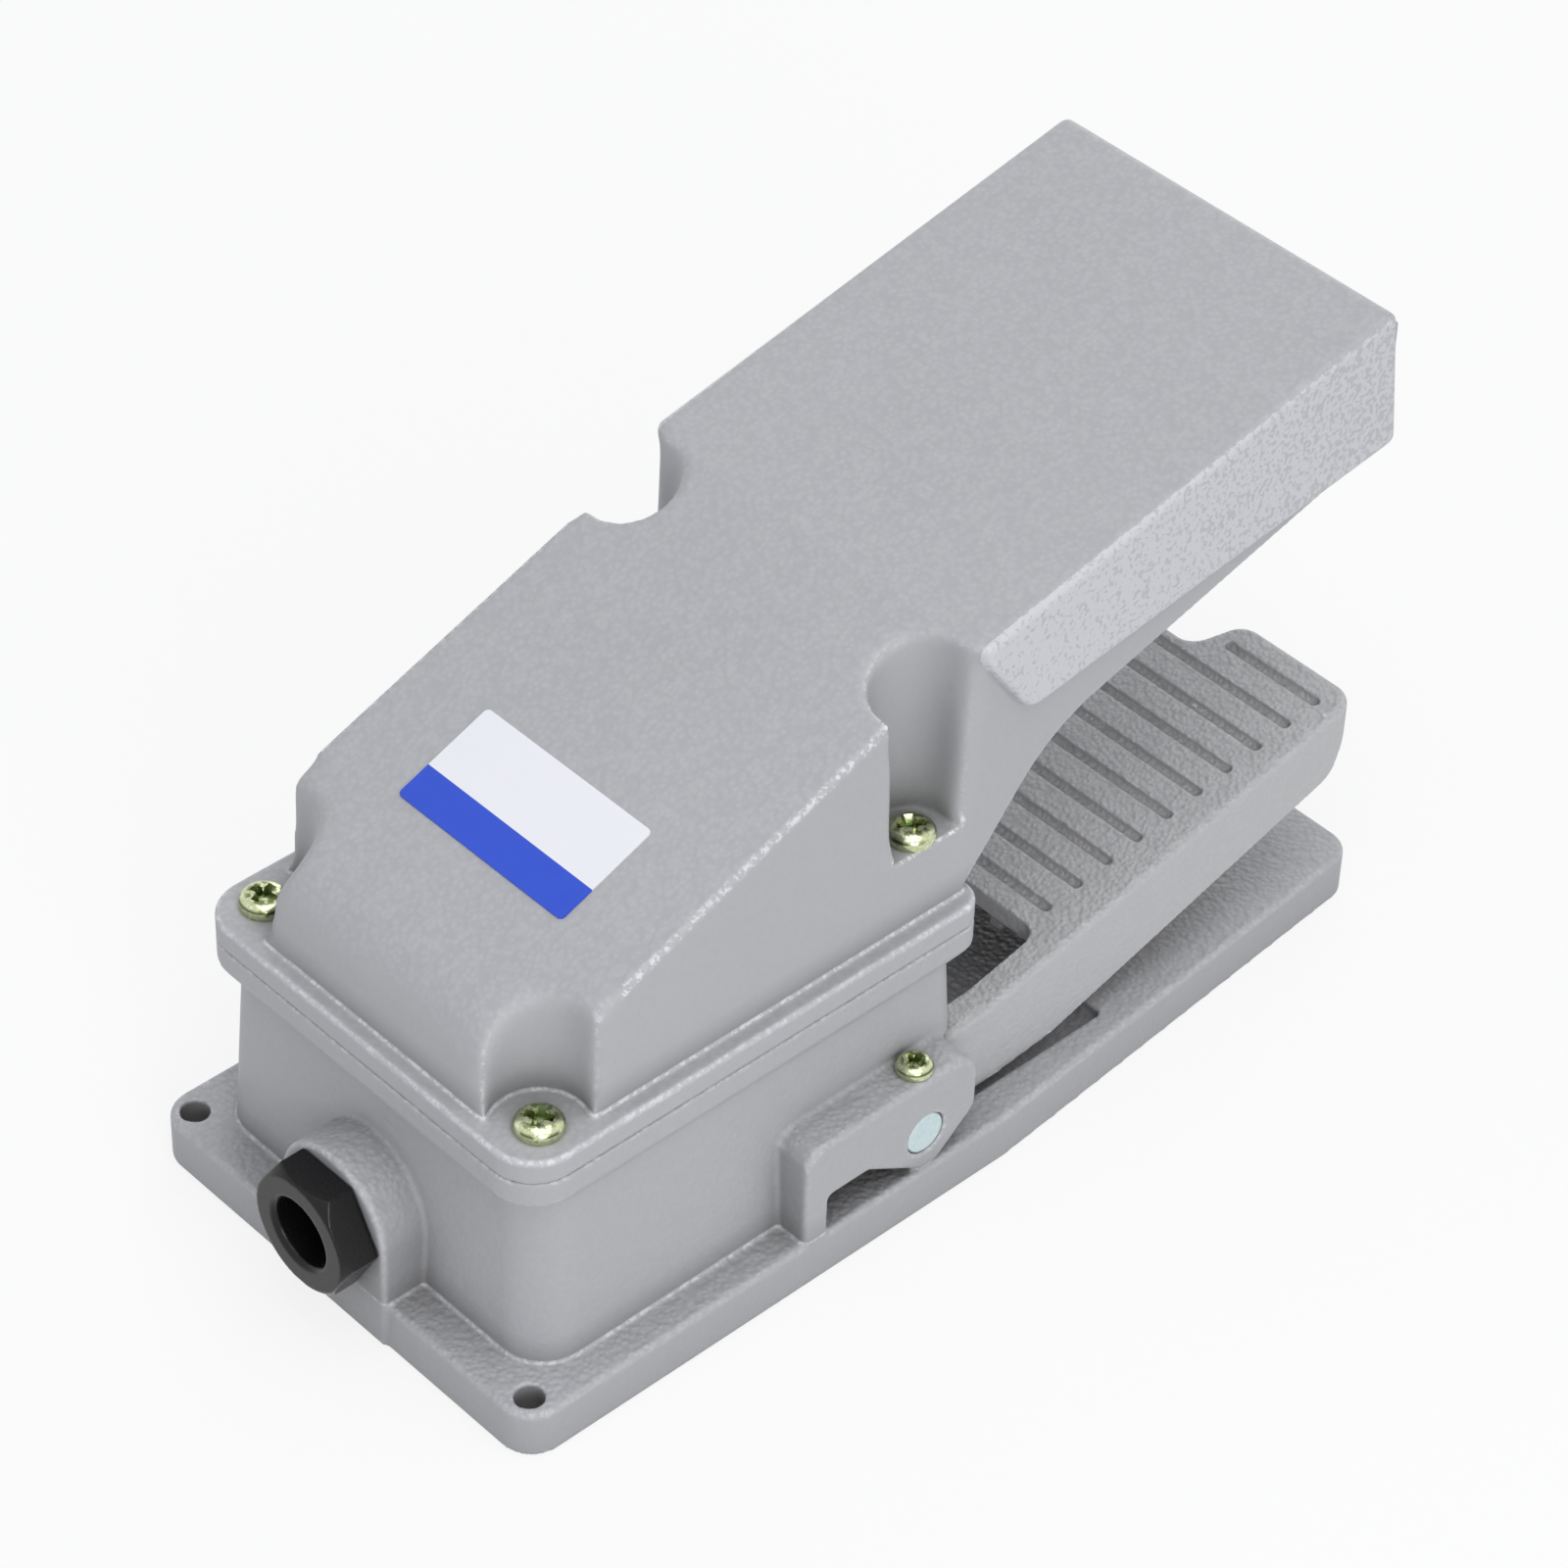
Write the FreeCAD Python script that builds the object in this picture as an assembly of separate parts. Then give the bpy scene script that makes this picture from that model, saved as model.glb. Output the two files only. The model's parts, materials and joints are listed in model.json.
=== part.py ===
import FreeCAD, Part
import math
import os

# Industrial foot switch: cast base with switch box, sloping cover with foot guard, and a pedal that
# turns on two pins and works a contact block through a trip lever.
# Frame in millimetres: +Z up, the toe side at -Y, the cable gland at +Y, the base stands on z = 0.

Vector = FreeCAD.Vector

# Clearances
running_gap = 0.05
screw_gap = 0.05
seat_gap = 0.3
side_gap = 0.8

# Overlap of forms that are joined or cut, and the tolerance for picking edges
overcut = 1.0
touch = 0.01

# Base plate
base_length = 216.0
base_half_width = 51.3
base_front_narrowing = 8.8
base_thickness = 10.0
base_taper_start = 114.0
base_rear_corner = 6.5
base_front_corner = 6.0
base_taper_round = 60.0
base_edge_round = 1.2
bolt_inset = 5.3
bolt_setback = 4.9
bolt_hole_radius = 2.75
underside_rim = 5.0
underside_depth = 4.0
underside_rib = 3.0
underside_rows = 6
underside_start = 16.0
underside_corner = 2.5

# Switch box
casting_wall = 4.0
box_setback = 8.35
box_length = 100.8
box_side_setback = 7.1
box_corner = 9.0
box_front_corner = 5.0
box_draft = 0.045
rim_height = 55.0
rim_depth = 5.0
rim_chamfer = 3.0
rim_overhang_side = 0.3
rim_overhang_rear = 2.1
rim_overhang_front = 2.8
gasket_thickness = 1.0
gasket_inset = 2.0

# Cable gland
gland_height = 22.4
gland_boss_radius = 14.0
gland_boss_reach = 0.6
gland_boss_round = 1.0
gland_thread_radius = 10.2
gland_thread_depth = 10.0
gland_entry_radius = 7.5
nut_across_flats = 23.0
nut_head = 7.0
nut_bore_radius = 6.8
nut_chamfer = 1.8
nut_shank = 4.6
nut_mouth_chamfer = 0.8
gland_washer_thickness = 1.0
gland_washer_gap = 0.4
gland_face_gap = 0.05
gland_ring_gap = 0.15
grommet_bore_radius = 4.5

# Pivot, lugs and pins
pivot_setback = 16.0
pivot_rise = 9.0
pin_radius = 4.4
pin_recess = 0.3
pin_press_gap = 0.02
pin_chamfer = 0.4
lug_thickness = 8.0
lug_top_rise = 13.0
lug_front_reach = 12.4
lug_post_front = 23.4
lug_post_width = 5.6
lug_window_height = 8.7
lug_dip_start = 14.0
lug_top_round = 4.0
lug_nose_round = 6.0
lug_lobe_round = 5.0
lug_lobe_front = 3.0
lug_lobe_rear = 0.8
lug_lobe_gap = 0.45
lug_edge_round = 1.2
arm_recess_rear = 21.5
arm_recess_top = 20.0
arm_recess_round = 5.0
lever_slot_half_width = 10.4
lever_slot_height = 8.2

# Pedal
arm_thickness = 6.0
arm_boss_radius = 8.5
pedal_angle = 12.6
pedal_reach = 118.4
pedal_front_height = 30.9
pedal_front_edge = 8.4
pedal_plate = 4.5
pedal_plate_rear = 41.4
pedal_heel = 25.0
pedal_knee = 40.5
pedal_knee_rise = 1.6
pedal_rail_angle = 16.4
pedal_heel_round = 20.0
pedal_knee_round = 10.0
pedal_toe_setback = 6.0
pedal_toe_round = 3.0
pedal_neck = 24.0
pedal_neck_round = 15.0
pedal_toe_wall = 5.0
pedal_gap_round = 3.5
pedal_edge_round = 1.5
pedal_corner = 5.0
pedal_press = 5.5
heel_gap = 0.35
heel_relief_reach = 53.0
heel_relief_gap = 0.9
heel_relief_round = 1.5
scallop_half_width = 12.0
scallop_depth = 10.0
scallop_round = 5.0
groove_count = 10
groove_radius = 1.1
groove_pitch = 7.5
groove_first = 6.4
groove_margin = 5.5
groove_margin_rear = 8.9
groove_short_start = 15.5
pedal_rib = 3.0
pedal_rib_depth = 5.0
pedal_rib_offset = 24.0

# Cover and foot guard
cover_wall = 3.5
cover_flange = 5.0
cover_side_inset = 3.7
cover_side_draft = 0.03
cover_rear_draft = 0.075
cover_rear_inset = 3.3
cover_front_inset = 2.6
cover_low_height = 82.0
cover_low_setback = 16.0
cover_slope = 21.3
cover_top_round = 12.0
cover_edge_round = 1.2
flange_edge_round = 0.8
guard_slope = 12.6
guard_crease = 0.9
guard_reach = 102.6
guard_top_half_width = 41.0
guard_draft = 0.05
guard_edge_round = 1.5
guard_front_round = 2.0
guard_front_height = 29.0
guard_front_lean = 2.1
guard_low_angle = 15.6
guard_sweep_reach = 18.0
guard_sweep_round = 34.0
guard_roof_round = 12.0
facet_setback = 13.2
facet_drop = 18.4
facet_corner = 4.0
web_step = 0.3
web_top_drop = 3.0

# Cover screws
rear_screw_inset = 8.0
rear_screw_setback = 6.0
front_screw_inset = 8.1
front_screw_setback = 9.2
cover_screw_radius = 2.5
cover_screw_head_radius = 4.5
cover_screw_head = 2.9
cover_screw_grip = 6.5
screw_column_radius = 6.0
screw_end_gap = 0.8
rear_pocket_radius = 9.2
front_pocket_radius = 7.5
front_pocket_floor = 15.5
pocket_draft = 0.032
pocket_mouth_flare = 2.0
pocket_mouth_round = 4.0

# Label
label_length = 42.5
label_width = 21.8
label_thickness = 0.3
label_low_setback = 34.2

# Small screws
small_screw_radius = 2.0
small_screw_head_radius = 3.5
small_screw_head = 2.4
thread_reach = 4.5

# Trip lever
lever_half_width = 9.0
lever_thickness = 4.0
lever_drop = 3.0
lever_tail_overhang = 7.0
lever_bend = 14.0
lever_pad = 3.5
lever_pad_half_width = 12.0
lever_foot_start = 46.0
lever_foot_length = 32.0
lever_screw_spacing = 16.0
lever_screw_grip = 5.8

# Return spring and rest buffer
spring_share = 0.6
spring_radius = 5.4
spring_wire = 0.6
spring_turns = 5
spring_peg_radius = 3.9
spring_peg = 3.0
buffer_radius = 5.0
buffer_stem_radius = 2.0
buffer_stem = 2.8

# Switch bracket
plunger_arm = 32.0
bracket_height = 38.0
bracket_sheet = 2.0
bracket_side_gap = 4.2
bracket_front = 13.0
wiring_room = 18.8
bracket_leg_front = 4.0
bracket_foot = 10.0
bracket_screw_edge = 3.0
bracket_bend = 3.5

# Contact block
block_half_width = 15.5
block_front = 12.0
block_rear = 12.0
block_height = 36.0
block_wall = 3.0
block_floor = 6.0
block_solid_front = 7.0
block_lid_thickness = 2.5
block_screw_x = 11.0
block_screw_radius = 1.75
block_screw_head_radius = 3.0
block_screw_head = 2.2
terminal_ledge = 7.5
terminal_depth = 6.0
terminal_offset = 3.0
strip_thickness = 1.2
strip_inner = 5.0
strip_half_width = 3.0
strip_cross_inner = 6.5
strip_cross_outer = 3.2
strip_rise = 5.4
rivet_radius = 2.0
rivet_height = 1.0
rivet_x = 7.5
contact_gap = 0.25
terminal_screw_radius = 1.5
terminal_screw_head_radius = 2.8
terminal_screw_head = 1.8
terminal_screw_grip = 4.0
lid_screw_radius = 1.2
lid_screw_head_radius = 2.2
lid_screw_head = 1.4
lid_screw_grip = 4.6
lid_screw_inset = 4.0
lid_margin = 1.2
lid_gap = 0.1

# Plunger
plunger_radius = 3.0
carrier_half_width = 4.0
carrier_height = 16.0
carrier_lift = 0.6
carrier_roof = 2.0
bridge_gap = 0.1
bridge_spring_radius = 1.7
bridge_spring_wire = 0.3
bridge_half_length = 10.0
bridge_half_width = 2.4
plunger_spring_radius = 3.0
plunger_spring_wire = 0.4
plunger_spring_turns = 4
plunger_spindle_radius = 2.0

# Earth terminal
earth_inset = 14.0
earth_setback = 14.0
earth_boss = 4.0
earth_boss_radius = 5.0
earth_washer = 1.0
earth_washer_radius = 4.6
earth_screw_end = 2.0

# Places that follow from the sizes above
base_front_half_width = base_half_width - base_front_narrowing
bolt_spacing = 2 * (base_half_width - bolt_inset)
rear_edge = (base_length - gland_boss_reach - nut_head - seat_gap) / 2
front_edge = rear_edge - base_length
boss_face = rear_edge + gland_boss_reach
box_rear = rear_edge - box_setback
box_front = box_rear - box_length
box_half_width = base_half_width - box_side_setback
wall_top = rim_height - rim_depth - rim_chamfer
rim_half_width = box_half_width + rim_overhang_side
rim_rear = box_rear + rim_overhang_rear
rim_front = box_front - rim_overhang_front
seat_height = rim_height + cover_flange
cover_half_width = rim_half_width - cover_side_inset
cover_rear = rim_rear - cover_rear_inset
cover_front = rim_front + cover_front_inset
web_half_width = cover_half_width - web_step
guard_start_y = cover_front + guard_crease
guard_front_y = guard_start_y - guard_reach
pivot_y = box_front + pivot_setback
pivot_z = base_thickness + pivot_rise
rear_screw_x = rim_half_width - rear_screw_inset
rear_screw_y = cover_rear - rear_screw_setback
front_screw_x = rim_half_width - front_screw_inset
front_screw_y = cover_front + front_screw_setback
platform_height = seat_height + front_pocket_floor
lug_inner = base_half_width - lug_thickness
set_screw_x = base_half_width - lug_thickness / 2
pedal_half_width = lug_inner - side_gap
arm_inner = pedal_half_width - arm_thickness
recess_wall = arm_inner - side_gap
inner_front_half_width = recess_wall - casting_wall
press_sine = math.sin(math.radians(pedal_press))
heel_lowest = pivot_z - arm_boss_radius * math.cos(math.radians(pedal_press)) - pedal_heel * press_sine
relief_floor = heel_lowest - heel_gap
plunger_y = pivot_y + plunger_arm
bracket_half_width = box_half_width - casting_wall - bracket_side_gap - bracket_foot
bracket_rear = box_rear - casting_wall - wiring_room - plunger_y
spring_arm = plunger_arm + spring_share * bracket_rear
spring_y = pivot_y + spring_arm
lever_tail = spring_arm + lever_tail_overhang
earth_x = -(box_half_width - casting_wall - earth_inset)
earth_y = box_rear - earth_setback
terminal_x = block_half_width + terminal_ledge / 2
block_screw_y = plunger_y - block_front + block_solid_front / 2
lever_top = pivot_z - lever_drop
lever_bottom = lever_top - lever_thickness
plunger_travel = plunger_arm * math.radians(pedal_press)
bracket_top = bracket_height + bracket_sheet
block_base = bracket_top
block_top = block_base + block_height
block_front_y = plunger_y - block_front
block_rear_y = plunger_y + block_rear
carrier_low = block_base + block_floor + carrier_lift
lower_strip_z = block_base + block_floor + strip_rise
lower_contact = lower_strip_z + strip_thickness + rivet_height
bridge_stack = strip_thickness + 2 * rivet_height
bridge_z = lower_contact + contact_gap + rivet_height
upper_contact = lower_contact + 2 * contact_gap + bridge_stack + plunger_travel
upper_strip_z = upper_contact + rivet_height


def block(x0, x1, y0, y1, z0, z1):
    """Plain box between two corners."""
    return Part.makeBox(x1 - x0, y1 - y0, z1 - z0, Vector(x0, y0, z0))


def rod(radius, start, end):
    """Round bar from one point to another."""
    axis = Vector(*end) - Vector(*start)
    return Part.makeCylinder(radius, axis.Length, Vector(*start), axis)


def upright(radius, x, y, z0, z1):
    """Round bar along Z."""
    return rod(radius, (x, y, z0), (x, y, z1))


def through(radius, x, y, z0, z1):
    """Round cutter along Z that runs past both faces."""
    return upright(radius, x, y, z0 - overcut, z1 + overcut)


def blind(radius, x, y, z0, z1):
    """Round cutter along Z that runs past the upper face."""
    return upright(radius, x, y, z0, z1 + overcut)


def fused(shapes):
    """All shapes as one clean solid."""
    shapes = list(shapes)
    return shapes[0].multiFuse(shapes[1:]).removeSplitter()


def mirrored(shape):
    """Mirror image across the middle plane of the switch."""
    return shape.mirror(Vector(0, 0, 0), Vector(1, 0, 0))


def pair(shape):
    """The shape and its mirror image."""
    return [shape, mirrored(shape)]


def rounded_wire(corners, place):
    """Closed wire through corners (u, v, radius), each rounded by a tangent arc."""
    entries, middles, exits = [], [], []
    for index, (u, v, radius) in enumerate(corners):
        here = Vector(u, v, 0)
        before = Vector(*corners[index - 1][:2], 0)
        after = Vector(*corners[(index + 1) % len(corners)][:2], 0)
        back = (before - here).normalize()
        ahead = (after - here).normalize()
        half = back.getAngle(ahead) / 2
        reach = radius / math.tan(half)
        inward = (back + ahead).normalize() * (radius / math.sin(half) - radius) if radius else Vector()
        entries.append(here + back * reach)
        middles.append(here + inward)
        exits.append(here + ahead * reach)
    edges = []
    for index, corner in enumerate(corners):
        entry, middle, leave = (place(p.x, p.y) for p in (entries[index], middles[index], exits[index]))
        follow = entries[(index + 1) % len(corners)]
        follow = place(follow.x, follow.y)
        if corner[2]:
            edges.append(Part.Arc(entry, middle, leave).toShape())
        if leave.distanceToPoint(follow) > 1e-6:
            edges.append(Part.LineSegment(leave, follow).toShape())
    return Part.Wire(edges)


def plan_wire(corners, z):
    return rounded_wire(corners, lambda u, v: Vector(u, v, z))


def plan_form(corners, z0, z1):
    """Plan outline pushed up from z0 to z1."""
    return Part.Face(plan_wire(corners, z0)).extrude(Vector(0, 0, z1 - z0))


def side_form(corners, x0, x1):
    """Side outline (y, z) pushed across from x0 to x1."""
    wire = rounded_wire(corners, lambda u, v: Vector(x0, u, v))
    return Part.Face(wire).extrude(Vector(x1 - x0, 0, 0))


def front_form(corners, y0, y1):
    """Front outline (x, z) pushed along from y0 to y1."""
    wire = rounded_wire(corners, lambda u, v: Vector(u, y0, v))
    return Part.Face(wire).extrude(Vector(0, y1 - y0, 0))


def drafted(lower, z0, upper, z1):
    """Cast form with sloping sides between two plan outlines."""
    return Part.makeLoft([plan_wire(lower, z0), plan_wire(upper, z1)], True, True)


def box_plan(half_width, rear, front, rear_radius, front_radius):
    """Corners of a rectangular plan with rounded corners."""
    return [
        (-half_width, front, front_radius),
        (half_width, front, front_radius),
        (half_width, rear, rear_radius),
        (-half_width, rear, rear_radius),
    ]


def softened(shape, radius, chosen):
    """Shape with a round on the edges that the test picks."""
    edges = [edge for edge in shape.Edges if chosen(edge)]
    return shape.makeFillet(radius, edges)


def pan_screw(x, y, seat, length, shank_radius, head_radius, head_height, cross=True):
    """Pan head screw that stands on its seat and points down."""
    side = head_height * 0.4
    crown = head_radius * 0.72
    shoulder = Vector(head_radius, 0, side)
    rim = Vector(head_radius * 0.93, 0, side + (head_height - side) * 0.55)
    points = [Vector(0, 0, 0), Vector(head_radius, 0, 0), shoulder]
    edges = [Part.LineSegment(a, b).toShape() for a, b in zip(points, points[1:])]
    edges.append(Part.Arc(shoulder, rim, Vector(crown, 0, head_height)).toShape())
    edges.append(Part.LineSegment(Vector(crown, 0, head_height), Vector(0, 0, head_height)).toShape())
    edges.append(Part.LineSegment(Vector(0, 0, head_height), Vector(0, 0, 0)).toShape())
    head = Part.Face(Part.Wire(edges)).revolve(Vector(0, 0, 0), Vector(0, 0, 1), 360)
    screw = head.fuse(upright(shank_radius, 0, 0, -length, 0)).removeSplitter()
    arm = head_radius * 0.52
    slot = head_radius * 0.13
    depth = head_height * 0.6
    bars = [block(-arm, arm, -slot, slot, head_height - depth, head_height + 1)]
    if cross:
        bars.append(block(-slot, slot, -arm, arm, head_height - depth, head_height + 1))
    screw = screw.cut(fused(bars) if cross else bars[0])
    screw.translate(Vector(x, y, seat))
    return screw


def small_screw(x, y, seat, length, cross=True):
    """Pan head screw of the small size."""
    return pan_screw(x, y, seat, length, small_screw_radius, small_screw_head_radius,
                     small_screw_head, cross)


def coil(x, y, z0, z1, radius, wire, turns):
    """Compression spring with its ends on z0 and z1."""
    height = z1 - z0 - 2 * wire
    helix = Part.makeHelix(height / turns, height, radius)
    section = Part.Wire(Part.makeCircle(wire, Vector(radius, 0, 0), Vector(0, 1, 0)))
    spring = Part.Wire(helix).makePipeShell([section], True, True)
    spring.translate(Vector(x, y, z0 + wire))
    return spring


def rail_z(reach):
    """Height of the pedal's top face at a reach forward of the pivot."""
    return pivot_z + pedal_front_height - (pedal_reach - reach) * math.tan(math.radians(pedal_angle))


def slope_z(y):
    """Height of the cover's sloping face at y."""
    low_y = cover_rear - cover_low_setback
    return cover_low_height + (low_y - y) * math.tan(math.radians(cover_slope))


def guard_z(y):
    """Height of the foot guard's top face at y."""
    return slope_z(guard_start_y) + (guard_start_y - y) * math.tan(math.radians(guard_slope))


def base_plate():
    """Plate with rounded corners that narrows towards the toe."""
    taper = rear_edge - base_taper_start
    corners = [
        (-base_front_half_width, front_edge, base_front_corner),
        (base_front_half_width, front_edge, base_front_corner),
        (base_half_width, taper, base_taper_round),
        (base_half_width, rear_edge, base_rear_corner),
        (-base_half_width, rear_edge, base_rear_corner),
        (-base_half_width, taper, base_taper_round),
    ]
    plate = plan_form(corners, 0, base_thickness)
    return softened(plate, base_edge_round, lambda edge: edge.BoundBox.ZMin > base_thickness - touch)


def underside_cells():
    """Hollows under the plate, with ribs left between them."""
    first = rear_edge - underside_start
    last = front_edge + underside_rim
    pitch = (first - last + underside_rib) / underside_rows
    for row in range(underside_rows):
        rear = first - row * pitch
        front = rear - pitch + underside_rib
        taper = rear_edge - base_taper_start
        share = max(0.0, taper - front) / (taper - front_edge)
        half = base_half_width - (base_half_width - base_front_half_width) * share - underside_rim
        cell = plan_form(box_cell(underside_rib / 2, half, front, rear), 0, underside_depth)
        yield from pair(cell)


def box_cell(x0, x1, y0, y1):
    """Corners of a hollow with small round corners."""
    radius = underside_corner
    return [(x0, y0, radius), (x1, y0, radius), (x1, y1, radius), (x0, y1, radius)]


def box_outer():
    """Drafted walls of the switch box with the rim on top."""
    top_half = box_half_width - box_draft * (wall_top - base_thickness)
    top_rear = box_rear - box_draft * (wall_top - base_thickness)
    top_front = box_front + box_draft * (wall_top - base_thickness)
    foot = box_plan(box_half_width, box_rear, box_front, box_corner, box_front_corner)
    top = box_plan(top_half, top_rear, top_front, box_corner, box_front_corner)
    rim = box_plan(rim_half_width, rim_rear, rim_front, box_corner, box_front_corner)
    return fused([
        drafted(foot, base_thickness, top, wall_top),
        drafted(top, wall_top, rim, wall_top + rim_chamfer),
        plan_form(rim, wall_top + rim_chamfer, rim_height),
    ])


def box_hollow():
    """Room inside the box: full width behind and above, narrow between the pedal arms."""
    draft = box_draft * (rim_height - base_thickness)
    half = box_half_width - casting_wall
    rear = box_rear - casting_wall
    front = box_front + casting_wall
    radius = box_corner - casting_wall
    foot = box_plan(half, rear, front, radius, 2.0)
    top = box_plan(half - draft, rear - draft, front + draft, radius, 2.0)
    hollow = drafted(foot, base_thickness, top, rim_height)
    step = block(
        inner_front_half_width, box_half_width + 1,
        box_front - 1, pivot_y + arm_recess_rear + casting_wall,
        base_thickness - 1, base_thickness + arm_recess_top + casting_wall,
    )
    return hollow.cut(fused(pair(step)))


def arm_recess():
    """Room beside the box where a pedal arm turns."""
    rear = pivot_y + arm_recess_rear
    top = base_thickness + arm_recess_top
    ahead = rim_front - overcut
    corners = [
        (ahead, base_thickness, 0),
        (rear, base_thickness, 0),
        (rear, top, arm_recess_round),
        (ahead, top, 0),
    ]
    return side_form(corners, recess_wall, box_half_width + overcut)


def heel_relief():
    """Shallow hollow in the plate that takes the heel of a side rail."""
    top = base_thickness + overcut
    inner = arm_inner - pedal_gap_round - seat_gap
    outer = pedal_half_width + heel_relief_gap
    front = pivot_y - heel_relief_reach
    middle = pivot_y - pedal_plate_rear + 2 * pedal_gap_round
    rear = pivot_y - lug_front_reach - 2 * overcut
    ahead = plan_form([
        (inner, front, heel_relief_round), (outer, front, heel_relief_round),
        (outer, middle, 0), (inner, middle, heel_relief_round),
    ], relief_floor, top)
    along = block(recess_wall, outer, middle - overcut, rear, relief_floor, top)
    beside = block(recess_wall, lug_inner, rear, pivot_y - overcut, relief_floor, top)
    return fused([ahead, along, beside])


def lug():
    """Pivot lug: post on the plate edge and an arm that holds the pin."""
    post_front = pivot_y + lug_post_front
    post_rear = post_front + lug_post_width
    top = pivot_z + lug_top_rise
    front = pivot_y - lug_front_reach
    low = base_thickness + lug_lobe_gap
    foot = base_thickness - overcut
    window_top = base_thickness + lug_window_height
    corners = [
        (post_rear, foot, 0),
        (post_rear, top, lug_top_round),
        (front, top, lug_nose_round),
        (front, pivot_z - 0.5, 4.0),
        (pivot_y - lug_lobe_front, low, lug_lobe_round),
        (pivot_y + lug_lobe_rear, low, lug_lobe_round),
        (pivot_y + lug_dip_start, window_top, 2.0),
        (post_front, window_top, 1.0),
        (post_front, foot, 0),
    ]
    arm = side_form(corners, lug_inner, base_half_width)

    def on_edge(edge):
        box = edge.BoundBox
        outside = box.XMin > base_half_width - touch
        return outside and box.ZMin > window_top + lug_lobe_gap and box.ZMax > pivot_z + overcut

    arm = softened(arm, lug_edge_round, on_edge)
    post = block(box_half_width - 2 * overcut, lug_inner + overcut, post_front, post_rear,
                 base_thickness - overcut, top - lug_top_round / 2)
    return fused([arm, post])


def gland_boss():
    """Arched boss on the rear wall, with its flanks down to the base."""
    arch = rod(gland_boss_radius, (0, box_rear - 4, gland_height), (0, boss_face, gland_height))
    flank = block(-gland_boss_radius, gland_boss_radius, box_rear - 4, boss_face, 0, gland_height)
    boss = fused([arch, flank])

    def face_edge(edge):
        box = edge.BoundBox
        return box.YMin > boss_face - touch and box.ZMax > gland_height

    return softened(boss, gland_boss_round, face_edge)


def screw_columns(outer):
    """Threaded columns in the box corners, kept inside the walls."""
    rear = upright(screw_column_radius, rear_screw_x, rear_screw_y, base_thickness - 1, rim_height)
    low = base_thickness + arm_recess_top + 1
    front = upright(screw_column_radius, front_screw_x, front_screw_y, low, rim_height)
    columns = fused(pair(rear) + pair(front))
    return columns.common(outer)


def cover_screw_places():
    """Where the cover screws sit on the +X side: at the rear and in front."""
    return [(rear_screw_x, rear_screw_y), (front_screw_x, front_screw_y)]


def base_housing():
    """Base plate, switch box, lugs and gland boss in one casting."""
    outer = box_outer()
    shell = outer.cut(box_hollow())
    shell = shell.cut(fused(pair(arm_recess())))
    columns = screw_columns(outer)
    body = fused([base_plate(), shell, gland_boss(), columns] + pair(lug()))
    cuts = list(underside_cells())
    cuts += pair(heel_relief())
    cuts += pair(through(bolt_hole_radius, bolt_spacing / 2, rear_edge - bolt_setback, 0, base_thickness))
    for x, y in cover_screw_places():
        cuts += pair(blind(cover_screw_radius + screw_gap, x, y,
                           rim_height - cover_screw_grip - screw_end_gap, rim_height))
    cuts.append(gasket_form(0, 0))
    thread_end = boss_face - gland_thread_depth
    thread_face = (0, boss_face + overcut, gland_height)
    cuts.append(rod(gland_thread_radius, (0, thread_end, gland_height), thread_face))
    inside = (0, box_rear - 2 * casting_wall, gland_height)
    cuts.append(rod(gland_entry_radius, inside, (0, thread_end + overcut, gland_height)))
    pin_end = (base_half_width + overcut, pivot_y, pivot_z)
    cuts += pair(rod(pin_radius + pin_press_gap, (lug_inner - overcut, pivot_y, pivot_z), pin_end))
    screw_hole = small_screw_radius + screw_gap
    cuts += pair(blind(screw_hole, set_screw_x, pivot_y, pivot_z, pivot_z + lug_top_rise))
    slot_rear = box_front + casting_wall + 2 * overcut
    cuts.append(block(-lever_slot_half_width, lever_slot_half_width, box_front - overcut, slot_rear,
                      base_thickness, base_thickness + lever_slot_height))
    for x, y in bracket_screw_places():
        cuts.append(blind(screw_hole, x, y, base_thickness - thread_reach - seat_gap, base_thickness))
    cuts.append(blind(buffer_stem_radius + screw_gap, 0, spring_y,
                      base_thickness - buffer_stem - 0.2, base_thickness))
    earth_seat = base_thickness + earth_boss
    boss = upright(earth_boss_radius, earth_x, earth_y, base_thickness - overcut, earth_seat)
    body = fused([body, boss])
    cuts.append(blind(screw_hole, earth_x, earth_y, base_thickness - earth_screw_end, earth_seat))
    return body.cut(cuts).removeSplitter()


def gasket_form(edge_gap, hole_gap):
    """Rubber frame in the rebate of the rim, or the rebate itself when both gaps are 0."""
    draft = box_draft * (rim_height - base_thickness)
    inset = gasket_inset + edge_gap
    outer = box_plan(rim_half_width - inset, rim_rear - inset, rim_front + inset,
                     box_corner - gasket_inset, box_front_corner - gasket_inset)
    inner = box_plan(box_half_width - casting_wall - draft, box_rear - casting_wall - draft,
                     box_front + casting_wall + draft, box_corner - casting_wall, 2.0)
    low = rim_height - gasket_thickness
    frame = plan_form(outer, low, rim_height).cut(plan_form(inner, low - overcut, rim_height + overcut))
    if hole_gap:
        holes = []
        for x, y in cover_screw_places():
            holes += pair(through(cover_screw_radius + hole_gap, x, y, low, rim_height))
        frame = frame.cut(fused(holes))
    return frame


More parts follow.
